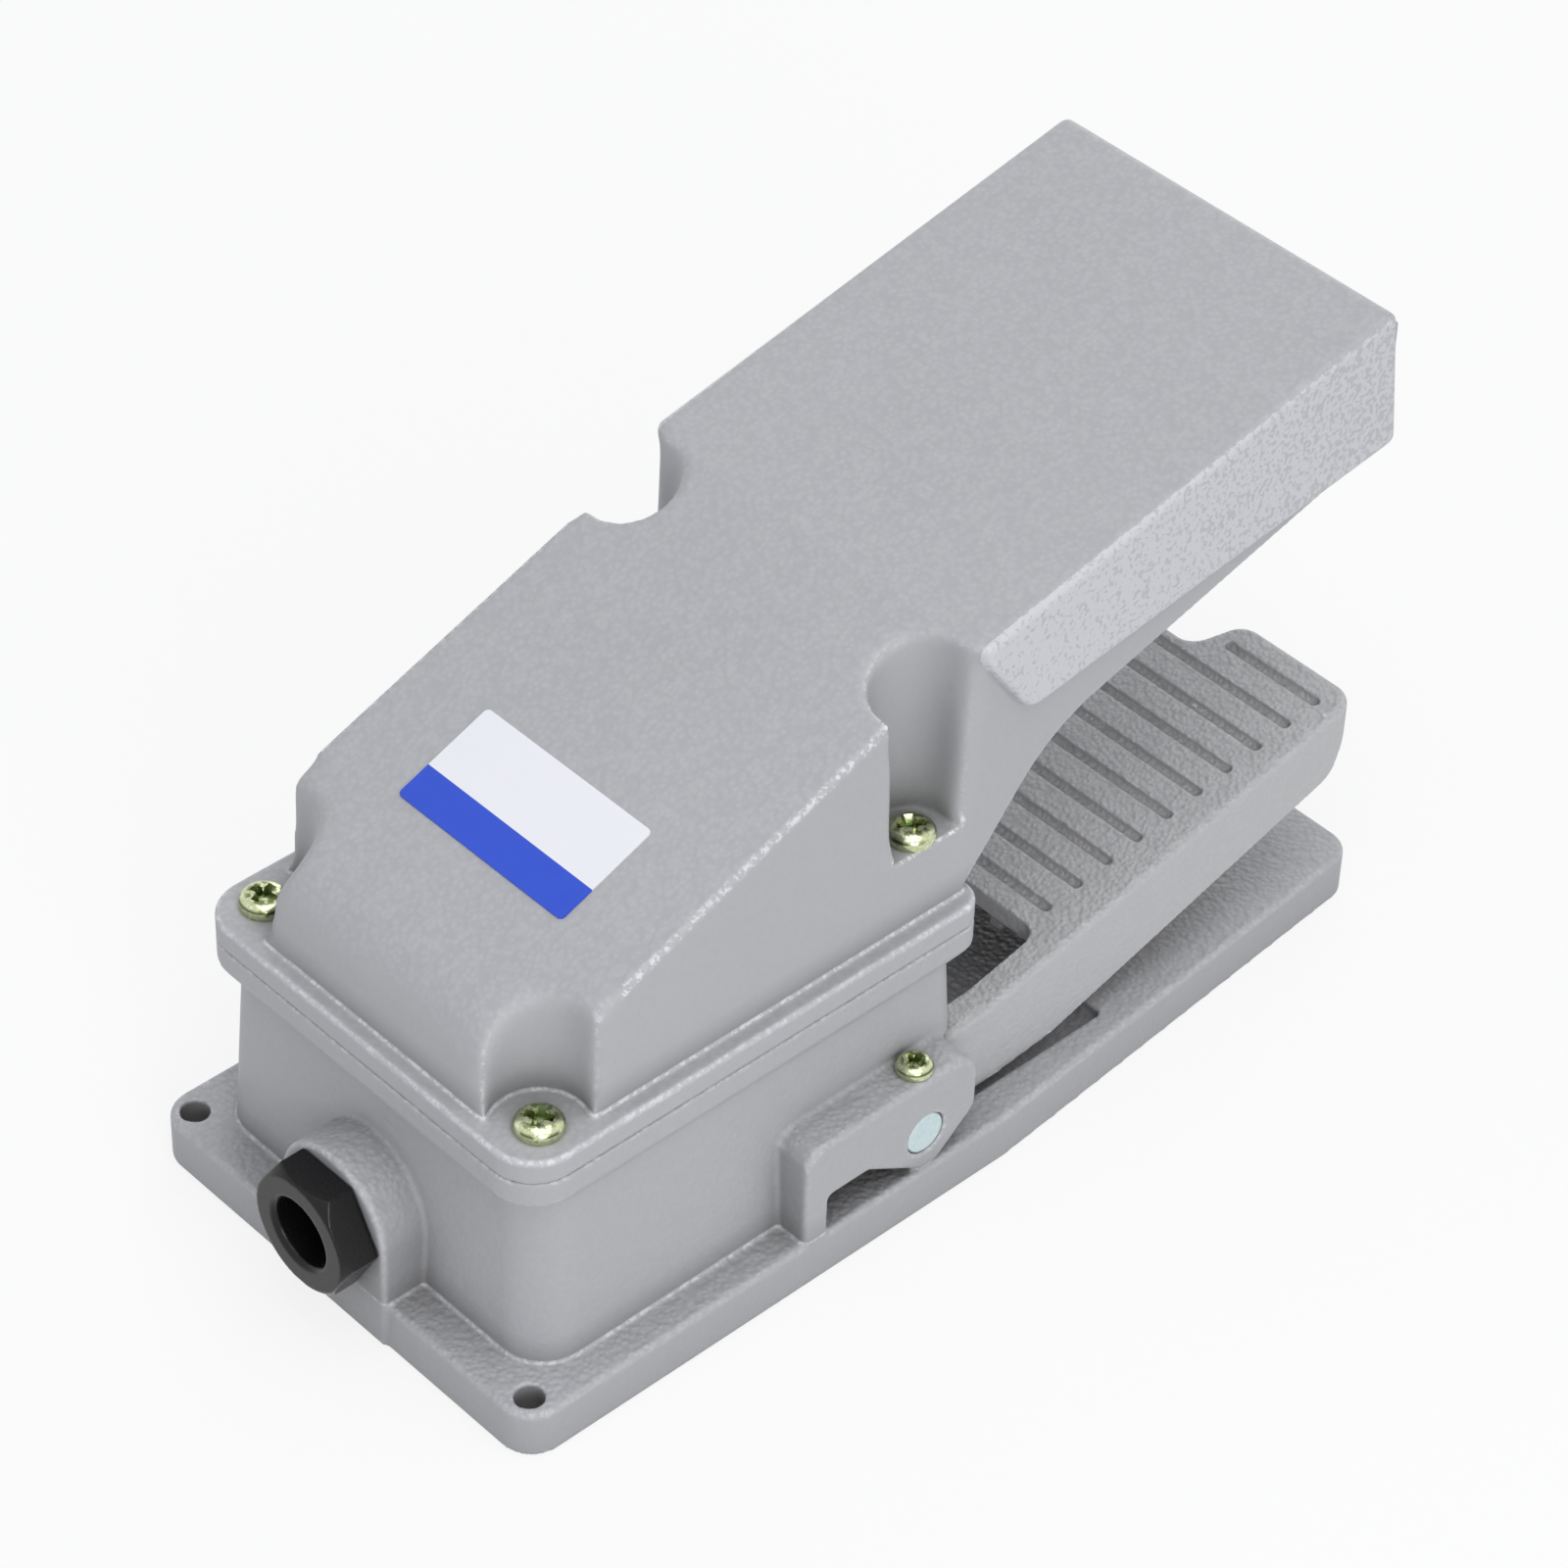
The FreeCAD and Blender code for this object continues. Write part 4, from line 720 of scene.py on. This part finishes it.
@dataclass
class Workshop:
    """Keeps the finishes and hands pieces to the frame."""

    made: dict[str, bpy.types.Material] = field(default_factory=dict)
    # Yellow zinc: the hue drift from dark olive to near white is partly the plating's own play of colour
    # and partly painted reflection; strong painted dark reflections and painted shade in the recess
    yellow_zinc: Plating = Plating(
        "yellow_zinc", "yellow_zinc",
        ((0.34, 0.42, 0.16), (0.72, 0.76, 0.50), (0.52, 0.58, 0.32), (0.84, 0.86, 0.72)),
        patch=1.6 * MM, low_rough=0.12, high_rough=0.26, dark=0.88, dark_tone=(0.055, 0.085, 0.025),
        hollow=0.9,
    )
    blue_zinc: Plating = Plating(
        "blue_zinc", "blue_zinc",
        ((0.58, 0.72, 0.76), (0.66, 0.79, 0.80), (0.60, 0.74, 0.80)),
        low_rough=0.30, high_rough=0.45,
    )
    screw_zinc: Plating = Plating(
        "screw_zinc", "small_screw_steel", ((0.60, 0.61, 0.62), (0.70, 0.71, 0.72))
    )
    nylon: Grain = Grain("black_nylon", "black_nylon", (0.003, 0.003, 0.003), (0.010, 0.010, 0.011),
                         rough=0.26, spread=0.12, grain=0.45 * MM, depth=0.02 * MM, shine=0.28)
    strip: Grain = Grain("strip_steel", "strip_steel", (0.45, 0.46, 0.47), (0.60, 0.61, 0.62), metal=1.0,
                         rough=0.38, grain=0.6 * MM, depth=0.012 * MM, stretch=(1.0, 0.15, 1.0))
    wire: Grain = Grain("spring_wire", "spring_steel", (0.36, 0.36, 0.37), (0.50, 0.50, 0.51), metal=1.0,
                        rough=0.30, grain=0.3 * MM, depth=0.008 * MM)
    rubber: Grain = Grain("dark_rubber", "dark_rubber", (0.016, 0.016, 0.016), (0.034, 0.034, 0.035),
                          rough=0.72, grain=0.5 * MM, depth=0.04 * MM)
    moulding: Grain = Grain("switch_moulding", "switch_moulding", (0.022, 0.022, 0.024),
                            (0.045, 0.045, 0.048), rough=0.42, grain=0.7 * MM)
    red_moulding: Grain = Grain("plunger_moulding", "plunger_moulding", (0.42, 0.03, 0.025),
                                (0.58, 0.06, 0.045), rough=0.40, grain=0.7 * MM)
    brass: Grain = Grain("contact_brass", "contact_brass", (0.62, 0.44, 0.17), (0.78, 0.58, 0.27),
                         metal=1.0, rough=0.30, grain=0.5 * MM, depth=0.01 * MM)

    def dress(self, thing: bpy.types.Object, finish: Any) -> None:
        """Puts a finish on an object.

        Args:
            thing: piece or CAD node.
            finish: the finish to use.
        """
        if finish.name not in self.made:
            self.made[finish.name] = finish.material()
        thing.data.materials.clear()
        thing.data.materials.append(self.made[finish.name])

    def dress_node(self, node: str, finish: Any) -> None:
        """Puts a finish on a CAD node."""
        self.dress(frame["nodes"][node], finish)
        log.info("node %s: %s", node, finish.name)

    def hand_over(self, piece: bpy.types.Object, node: str, finish: Any) -> None:
        """Dresses a piece, rides it on its node's body and lets it stand for the node.

        Args:
            piece: the new piece.
            node: the CAD node that it stands for.
            finish: its finish.
        """
        self.dress(piece, finish)
        bodies = frame["record"]["behaviour"]["bodies"]
        body = next(name for name, nodes in bodies.items() if node in nodes)
        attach(piece, body)
        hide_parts(node)
        log.info("piece %s stands for %s on %s", piece.name, node, body)


def keep_mesh(name: str, form: bmesh.types.BMesh) -> bpy.types.Object:
    """Turns a bmesh into an object at the origin.

    Args:
        name: the object's name.
        form: the bmesh, which is freed.

    Returns:
        The object.
    """
    mesh = bpy.data.meshes.new(name)
    form.to_mesh(mesh)
    form.free()
    piece = bpy.data.objects.new(name, mesh)
    bpy.context.scene.collection.objects.link(piece)
    return piece


def settled(piece: bpy.types.Object) -> None:
    """Applies a piece's modifiers to its mesh.

    Args:
        piece: the piece.
    """
    bpy.context.view_layer.update()
    ready = bpy.data.meshes.new_from_object(
        piece.evaluated_get(bpy.context.evaluated_depsgraph_get())
    )
    piece.modifiers.clear()
    piece.data = ready


def merged_copy(node: str) -> bmesh.types.BMesh:
    """Closed copy of a CAD node's mesh.

    Args:
        node: the node's name.

    Returns:
        The copy.
    """
    form = bmesh.new()
    form.from_mesh(frame["nodes"][node].data)
    bmesh.ops.remove_doubles(form, verts=form.verts, dist=WELD)
    return form


def add_skin(piece: bpy.types.Object, voxel: float) -> None:
    """Adds a modifier that skins a piece anew.

    Args:
        piece: the piece.
        voxel: size of the skin's faces.
    """
    skin = piece.modifiers.new("skin", "REMESH")
    skin.mode = "VOXEL"
    skin.voxel_size = voxel


def add_smooth(piece: bpy.types.Object, passes: int, group: str = "") -> None:
    """Adds a modifier that smooths a piece.

    Args:
        piece: the piece.
        passes: how often it is smoothed.
        group: vertex group that it is kept to, if any.
    """
    smooth = piece.modifiers.new("smooth", "SMOOTH")
    smooth.factor = SMOOTH_FACTOR
    smooth.iterations = passes
    smooth.vertex_group = group


@dataclass(frozen=True)
class SoftZone:
    """Upright round zone, the same on both sides, where a casting's edges are softer."""

    x: float
    y: float
    reach: float
    low: float
    passes: int
    fade: float = 3.0 * MM

    def share(self, spot: Vector) -> float:
        """One well inside the zone, fading to zero at its reach and at its foot.

        Args:
            spot: a point of the casting.

        Returns:
            The share.
        """
        away = math.hypot(abs(spot.x) - self.x, spot.y - self.y)
        beside = (self.reach - away) / self.fade
        above = (spot.z - self.low) / self.fade
        return max(0.0, min(1.0, beside, above))


@dataclass
class Casting:
    """A casting with the soft edges that sand and paint leave."""

    node: str
    piece: str
    paint: CastPaint
    voxel: float
    first_passes: int = 3
    last_passes: int = 2
    zones: tuple[SoftZone, ...] = ()
    most_triangles: int = 190000

    def soften(self, piece: bpy.types.Object, zone: SoftZone) -> None:
        """Smooths one zone of the casting.

        Args:
            piece: the casting.
            zone: where, and by how much.
        """
        group = piece.vertex_groups.new(name="soft")
        for vert in piece.data.vertices:
            share = zone.share(vert.co)
            if share > 0:
                group.add([vert.index], share, "REPLACE")
        add_smooth(piece, zone.passes, group.name)
        settled(piece)
        piece.vertex_groups.clear()

    def build(self, shop: Workshop) -> None:
        """Makes the softened casting and hands it over.

        Args:
            shop: the finishes.
        """
        piece = keep_mesh(self.piece, merged_copy(self.node))
        pattern = keep_mesh(self.piece + "_pattern", merged_copy(self.node))
        add_skin(piece, self.voxel)
        add_smooth(piece, self.first_passes)
        fit = piece.modifiers.new("fit", "SHRINKWRAP")
        fit.target = pattern
        fit.wrap_method = "NEAREST_SURFACEPOINT"
        add_smooth(piece, self.last_passes)
        settled(piece)
        bpy.data.objects.remove(pattern)
        for zone in self.zones:
            self.soften(piece, zone)
        triangles = 2 * len(piece.data.polygons)
        if triangles > self.most_triangles:
            thin = piece.modifiers.new("thin", "DECIMATE")
            thin.ratio = self.most_triangles / triangles
            settled(piece)
        piece.data.name = self.piece
        piece.data.shade_smooth()
        shop.hand_over(piece, self.node, self.paint)
        log.info("%s: %d faces from %d triangles", self.piece, len(piece.data.polygons), triangles)


@dataclass(frozen=True)
class ScrewSize:
    """Sizes of a pan head screw."""

    head: float
    height: float
    shank: float


@dataclass
class PanScrews:
    """Pan head screws with a cross recess, standing in their CAD places."""

    node: str
    piece: str
    size: ScrewSize
    turns: tuple[float, float]
    crown_flat: float = 0.42
    crown_height: float = 0.62
    rim_height: float = 0.22
    rim_inset: float = 0.97
    segments: int = 48
    recess_reach: float = 0.56
    recess_width: float = 0.17
    recess_depth: float = 0.62
    recess_flare: float = 1.25
    recess_foot: tuple[float, float] = (0.62, 0.75)
    cone: tuple[float, float] = (0.10, 0.42)
    cone_height: float = 0.9
    cone_segments: int = 24
    flat_normal: float = 0.98
    crisp_angle: float = 35.0

    def head_profile(self, length: float) -> list[Vector]:
        """Half outline of head and shank, from the crown's middle to the shank's end.

        Args:
            length: shank length.

        Returns:
            Points in the XZ plane.
        """
        radius, height, shank = self.size.head, self.size.height, self.size.shank
        arc = [math.radians(a) for a in (90, 78, 66, 54, 42, 30, 18, 6)]
        edge = height * self.crown_height
        flat = self.crown_flat
        crown = [
            Vector((radius * (flat + (1 - flat) * math.cos(a)), 0, height - edge + edge * math.sin(a)))
            for a in arc
        ]
        crown[0].x = radius * flat
        foot = [(radius, height * self.rim_height), (radius * self.rim_inset, 0.0), (shank, 0.0),
                (shank, -length), (0, -length)]
        top = [Vector((0, 0, height)), Vector((radius * 0.2, 0, height))]
        return [*top, *crown, *(Vector((x, 0, z)) for x, z in foot)]

    def cutter(self) -> bpy.types.Object:
        """Tapered cross that leaves the recess.

        Returns:
            The cutter, standing on the head.
        """
        radius, height = self.size.head, self.size.height
        form = bmesh.new()
        low, high = height * (1 - self.recess_depth), height * 1.3
        for turn in (0.0, math.pi / 2):
            made = bmesh.ops.create_cube(form, size=1.0)
            for vert in made["verts"]:
                top = vert.co.z > 0
                reach_share, width_share = (self.recess_flare,) * 2 if top else self.recess_foot
                vert.co = Vector((
                    math.copysign(radius * self.recess_reach * reach_share, vert.co.x),
                    math.copysign(radius * self.recess_width * width_share, vert.co.y),
                    high if top else low,
                ))
            bmesh.ops.rotate(form, verts=made["verts"], cent=Vector(),
                             matrix=Matrix.Rotation(turn, 3, Axis.Z.name))
        depth = height * self.cone_height
        cone = bmesh.ops.create_cone(form, cap_ends=True, segments=self.cone_segments, depth=depth,
                                     radius1=radius * self.cone[0], radius2=radius * self.cone[1])
        bmesh.ops.translate(form, verts=cone["verts"], vec=Vector((0, 0, low + depth / 2)))
        return keep_mesh(self.piece + "_cutter", form)

    def one(self, length: float, turn: float) -> bmesh.types.BMesh:
        """One screw at the origin, head up.

        Args:
            length: shank length.
            turn: how far the recess is turned, in degrees.

        Returns:
            The screw.
        """
        form = bmesh.new()
        verts = [form.verts.new(p) for p in self.head_profile(length)]
        edges = [form.edges.new(pair) for pair in zip(verts, verts[1:])]
        bmesh.ops.spin(form, geom=verts + edges, cent=Vector(), axis=Vector(Axis.Z.value),
                       angle=2 * math.pi, steps=self.segments, use_merge=True)
        bmesh.ops.remove_doubles(form, verts=form.verts, dist=WELD / 2)
        bmesh.ops.recalc_face_normals(form, faces=form.faces)
        body = keep_mesh(self.piece + "_blank", form)
        cutter = self.cutter()
        cut = body.modifiers.new("recess", "BOOLEAN")
        cut.object = cutter
        cut.solver = "EXACT"
        cut.use_self = True
        settled(body)
        ready = bmesh.new()
        ready.from_mesh(body.data)
        for thing in (body, cutter):
            bpy.data.objects.remove(thing)
        bmesh.ops.rotate(ready, verts=ready.verts, cent=Vector(),
                         matrix=Matrix.Rotation(math.radians(turn), 3, Axis.Z.name))
        return ready

    def build(self, shop: Workshop) -> None:
        """Makes the screws of a node, each on its own seat.

        Args:
            shop: the finishes.
        """
        low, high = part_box(self.node)
        radius, height = self.size.head, self.size.height
        middle, seat = (low[1] + high[1]) / 2, high[2] - height
        form = bmesh.new()
        for x, turn in zip((low[0] + radius, high[0] - radius), self.turns):
            single = self.one(seat - low[2], turn)
            bmesh.ops.translate(single, verts=single.verts, vec=Vector((x, middle, seat)))
            carrier = bpy.data.meshes.new(self.piece + "_one")
            single.to_mesh(carrier)
            single.free()
            form.from_mesh(carrier)
            bpy.data.meshes.remove(carrier)
        piece = keep_mesh(self.piece, form)
        piece.data.shade_smooth()
        for polygon in piece.data.polygons:
            polygon.use_smooth = abs(polygon.normal.z) < self.flat_normal
        edge = piece.modifiers.new("edge", "EDGE_SPLIT")
        edge.split_angle = math.radians(self.crisp_angle)
        settled(piece)
        piece.data.name = self.piece
        shop.hand_over(piece, self.node, shop.yellow_zinc)


@dataclass
class SoftNode:
    """A small CAD node whose edges are broken by a fine skin."""

    node: str
    piece: str
    voxel: float
    passes: int = 2

    def build(self, shop: Workshop, finish: Any) -> None:
        """Makes the softened copy and hands it over.

        Args:
            shop: the finishes.
            finish: the piece's finish.
        """
        piece = keep_mesh(self.piece, merged_copy(self.node))
        add_skin(piece, self.voxel)
        add_smooth(piece, self.passes)
        settled(piece)
        piece.data.name = self.piece
        piece.data.shade_smooth()
        shop.hand_over(piece, self.node, finish)


@dataclass
class Castings:
    """Base, cover and pedal."""

    base_voxel: float = 0.55 * MM
    cover_voxel: float = 0.55 * MM
    pedal_voxel: float = 0.36 * MM
    plate_top: float = 10.0 * MM
    flange_top: float = 60.0 * MM
    facet_side: float = 40.97 * MM
    facet_outer: float = 60 * MM
    facet_rear: float = -3.5 * MM
    facet_drop: float = 45 * MM
    facet_margin: float = 5 * MM
    rear_pocket: SoftZone = SoftZone(36.5 * MM, 88.5 * MM, 16.0 * MM, 60.4 * MM, 140, fade=2.0 * MM)
    front_pocket: SoftZone = SoftZone(36.4 * MM, 3.9 * MM, 13.0 * MM, 77.0 * MM, 60, fade=2.5 * MM)

    def build(self, shop: Workshop) -> None:
        """Builds the three castings.

        Args:
            shop: the finishes.
        """
        low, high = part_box("cover")
        # Painted light: the guard's side facets get a paler, flecked tone where light falls on them
        facet = PaintedLightPatch(
            (self.facet_side, low[1] - self.facet_margin, high[2] - self.facet_drop),
            (self.facet_outer, self.facet_rear, high[2] + self.facet_margin),
        )
        # Base paint: faint painted glints, painted highlight and shade at the plate's foot, and
        # wide-reach painted shade that lays a shadow under the pedal
        base = CastPaint("base_paint", pebble_depth=0.13 * MM, glint_strength=0.28,
                         hollow=(0.375, 0.375, 0.39), foot=Foot(self.plate_top),
                         shade_reach=40 * MM, shade_range=(0.12, 0.68))
        # Cover paint: brighter painted glints above the flange top edge, full strength behind y = -5 mm;
        # painted light patch on the guard's side facets; painted highlight and shade at the flange foot
        cover = CastPaint("cover_paint", pebble_depth=0.04 * MM, edge=(0.88, 0.88, 0.90),
                          patch=facet, foot=Foot(self.flange_top), glint_behind=-5 * MM,
                          glint_above=self.flange_top - 1.2 * MM, fine_below=self.flange_top + 1 * MM)
        # Pedal paint: painted light, its body and hollow tones are lighter than the same grey on base and
        # cover to lift it out of the guard's shade; its short-reach painted shade darkens the grooves
        pedal = CastPaint("pedal_paint", pebble=0.95 * MM, pebble_depth=0.19 * MM, glint_strength=0.45,
                          body=(0.515, 0.515, 0.52), hollow=(0.415, 0.415, 0.42),
                          shade_reach=3.5 * MM, shade_range=(0.35, 0.92))
        Casting("base_housing", "base_casting", base, self.base_voxel).build(shop)
        Casting("cover", "cover_casting", cover, self.cover_voxel,
                zones=(self.rear_pocket, self.front_pocket)).build(shop)
        Casting("pedal", "pedal_casting", pedal, self.pedal_voxel, last_passes=1).build(shop)


@dataclass
class Fasteners:
    """Cover screws, pin screws and pivot pins."""

    cover_screw: ScrewSize = ScrewSize(4.5 * MM, 2.9 * MM, 2.5 * MM)
    set_screw: ScrewSize = ScrewSize(3.5 * MM, 2.4 * MM, 2.0 * MM)
    pin_voxel: float = 0.2 * MM

    def build(self, shop: Workshop) -> None:
        """Builds the screws that show and the pins.

        Args:
            shop: the finishes.
        """
        for screws in (
            PanScrews("rear_cover_screws", "rear_pan_screws", self.cover_screw, (34.0, 12.0)),
            PanScrews("front_cover_screws", "front_pan_screws", self.cover_screw, (58.0, 21.0)),
            PanScrews("pin_set_screws", "pin_pan_screws", self.set_screw, (8.0, 40.0)),
        ):
            screws.build(shop)
        for side in ("left", "right"):
            SoftNode(f"pivot_pin_{side}", f"{side}_pin", self.pin_voxel).build(shop, shop.blue_zinc)


@dataclass
class Gland:
    """Gland nut and the rings behind it."""

    nut_voxel: float = 0.3 * MM

    def build(self, shop: Workshop) -> None:
        """Softens the nut and dresses the rings.

        Args:
            shop: the finishes.
        """
        SoftNode("gland_nut", "hex_nut", self.nut_voxel).build(shop, shop.nylon)
        shop.dress_node("gland_washer", shop.strip)
        shop.dress_node("gland_grommet", shop.rubber)


@dataclass
class CoilSpring:
    """A coil spring, with the share of its length that it would keep at its joint's limit."""

    node: str
    piece: str
    joint: str

    def travel(self) -> float:
        """How far the joint pushes the spring's foot at its limit.

        Returns:
            The distance in metres.
        """
        joints = frame["record"]["behaviour"]["joints"]
        joint = next(entry for entry in joints if entry["name"] == self.joint)
        if joint["type"] == "slide":
            return joint["range_m"][1]
        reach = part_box(self.node)[1][1] - joint["pos_m"][1]
        return reach * math.sin(math.radians(joint["range_deg"][1]))

    def build(self, shop: Workshop) -> None:
        """Makes the spring, gives it a mesh of its own and logs the share of its length that it keeps at
        the joint's limit.

        Args:
            shop: the finishes.
        """
        low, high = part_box(self.node)
        piece = keep_mesh(self.piece, merged_copy(self.node))
        piece.data.shade_smooth()
        shop.hand_over(piece, self.node, shop.wire)
        keep = 1.0 - self.travel() / (high[2] - low[2])
        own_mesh(piece)
        log.info("%s keeps %.3f of its length", self.piece, keep)


@dataclass
class Mechanism:
    """Everything that works inside the box."""

    springs: tuple[CoilSpring, ...] = (
        CoilSpring("return_spring", "pedal_spring_coil", "pedal_hinge"),
        CoilSpring("plunger_spring", "plunger_spring_coil", "plunger_slide"),
    )

    def build(self, shop: Workshop) -> None:
        """Builds the springs and dresses the inner nodes.

        Args:
            shop: the finishes.
        """
        for spring in self.springs:
            spring.build(shop)
        finishes = {
            shop.strip: ("trip_lever", "switch_bracket"),
            shop.yellow_zinc: ("lever_screws", "bracket_screws", "earth_terminal"),
            shop.wire: ("bridge_spring",),
            shop.rubber: ("cover_gasket", "rest_buffer"),
            shop.moulding: ("block_body", "block_lid"),
            shop.red_moulding: ("plunger",),
            shop.brass: ("lower_contacts", "upper_contacts", "contact_bridge"),
            shop.screw_zinc: ("block_screws", "block_lid_screws", "terminal_screws"),
        }
        for finish, nodes in finishes.items():
            for node in nodes:
                shop.dress_node(node, finish)


@dataclass
class Label:
    """Bare label on the slope."""

    node: str = "label_plate"
    blue_from: float = 0.66

    def build(self, shop: Workshop) -> None:
        """Dresses the label.

        Args:
            shop: the finishes.
        """
        low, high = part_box(self.node)
        shop.dress_node(self.node, LabelFilm(low[1] + (high[1] - low[1]) * self.blue_from))


@dataclass(frozen=True)
class Lamp:
    """Square soft box, with its place and target in metres and its power in watts."""

    name: str
    place: tuple[float, float, float]
    target: tuple[float, float, float]
    size: float
    power: float

    def hang(self) -> None:
        """Adds the lamp to the scene."""
        data = bpy.data.lights.new(self.name, "AREA")
        data.shape = "SQUARE"
        data.size = self.size
        data.energy = self.power
        lamp = bpy.data.objects.new(self.name, data)
        lamp.location = self.place
        aim = Vector(self.target) - Vector(self.place)
        lamp.rotation_euler = aim.to_track_quat("-Z", "Y").to_euler()
        bpy.context.scene.collection.objects.link(lamp)


@dataclass
class Studio:
    """Floor, backdrop light, lamps and camera."""

    azimuth: float = 225.93
    elevation: float = 40.89
    roll: float = 2.03
    place: tuple[float, float, float] = (-0.5125, 0.4956, 0.6787)
    lens: float = 121.38
    sensor: float = 36.0
    clip_start: float = 0.05
    floor_size: float = 3.0
    floor_drop: float = 0.05 * MM
    floor_grain: float = 3 * MM
    floor_tones: tuple[tuple[float, float, float], ...] = ((0.84, 0.84, 0.84), (0.88, 0.88, 0.88))
    floor_white: float = 0.80
    sky: tuple[float, float, float, float] = (0.93, 0.95, 1.0, 1.0)
    sky_strength: float = 0.55
    lamps: tuple[Lamp, ...] = (
        Lamp("overhead", (-0.25, 0.10, 1.1), (0.0, 0.0, 0.05), 0.9, 4.7),
        Lamp("side", (-0.75, 0.35, 0.45), (0.0, 0.0, 0.06), 0.4, 2.3),
        Lamp("fill", (0.60, -0.80, 0.40), (0.0, -0.05, 0.05), 0.7, 2.2),
    )

    def background_share(self, graph: Graph) -> Socket:
        """One for rays that should see the plain background.

        Args:
            graph: the material's or the world's graph.

        Returns:
            The share as a socket.
        """
        path = graph.node("ShaderNodeLightPath")
        seen = graph.out(path, "Is Camera Ray")
        for name in ("Is Glossy Ray", "Is Transmission Ray"):
            seen = seen.at_least(graph.out(path, name))
        return seen

    def floor(self) -> None:
        """Pale floor that keeps the soft shadow."""
        form = bmesh.new()
        bmesh.ops.create_grid(form, x_segments=2, y_segments=2, size=self.floor_size)
        bmesh.ops.translate(form, verts=form.verts, vec=Vector((0, 0, -self.floor_drop)))
        floor = keep_mesh("floor", form)
        material, graph = new_material("floor_paper")
        paper = graph.noise(graph.place(), self.floor_grain, 2.0)
        matt = graph.node("ShaderNodeBsdfDiffuse", {}, {"Color": graph.blend(paper, *self.floor_tones)})
        white = graph.node("ShaderNodeEmission", {}, {"Color": WHITE, "Strength": 1.0})
        share = self.background_share(graph) * self.floor_white
        mix = graph.node("ShaderNodeMixShader", {},
                         {0: share, 1: matt.outputs[0], 2: white.outputs[0]})
        graph.finish(mix)
        floor.data.materials.append(material)

    def world(self) -> None:
        """Even light from all round, seen as white."""
        world = bpy.data.worlds.new("studio")
        bpy.context.scene.world = world
        world.use_nodes = True
        graph = Graph(world.node_tree)
        soft = graph.node("ShaderNodeBackground", {}, {"Color": self.sky, "Strength": self.sky_strength})
        white = graph.node("ShaderNodeBackground", {}, {"Color": WHITE, "Strength": 1.0})
        mix = graph.node("ShaderNodeMixShader", {},
                         {0: self.background_share(graph), 1: soft.outputs[0], 2: white.outputs[0]})
        graph.node("ShaderNodeOutputWorld", {}, {"Surface": mix.outputs[0]})

    def camera(self) -> None:
        """Camera at the photograph's viewpoint."""
        turn, lift, roll = (math.radians(v) for v in (self.azimuth, self.elevation, self.roll))
        back = Vector((math.sin(turn) * math.cos(lift), -math.cos(turn) * math.cos(lift), math.sin(lift)))
        right = Vector(Axis.Z.value).cross(back).normalized()
        up = back.cross(right)
        across = right * math.cos(roll) + up * math.sin(roll)
        above = up * math.cos(roll) - right * math.sin(roll)
        data = bpy.data.cameras.new("camera")
        data.lens = self.lens
        data.sensor_width = self.sensor
        data.clip_start = self.clip_start
        camera = bpy.data.objects.new("camera", data)
        grid = Matrix((across, above, back)).transposed().to_4x4()
        camera.matrix_world = Matrix.Translation(Vector(self.place)) @ grid
        bpy.context.scene.collection.objects.link(camera)
        bpy.context.scene.camera = camera

    def build(self) -> None:
        """Sets up the studio."""
        self.floor()
        self.world()
        for lamp in self.lamps:
            lamp.hang()
        self.camera()
        bpy.context.scene.view_settings.view_transform = "Standard"


def main() -> None:
    """Builds the pieces in order."""
    logging.basicConfig(level=logging.INFO, format="%(message)s")
    shop = Workshop()
    for part in (Castings(), Fasteners(), Gland(), Mechanism(), Label()):
        part.build(shop)
        log.info("built %s", type(part).__name__)
    Studio().build()


if __name__ == "__main__":
    main()
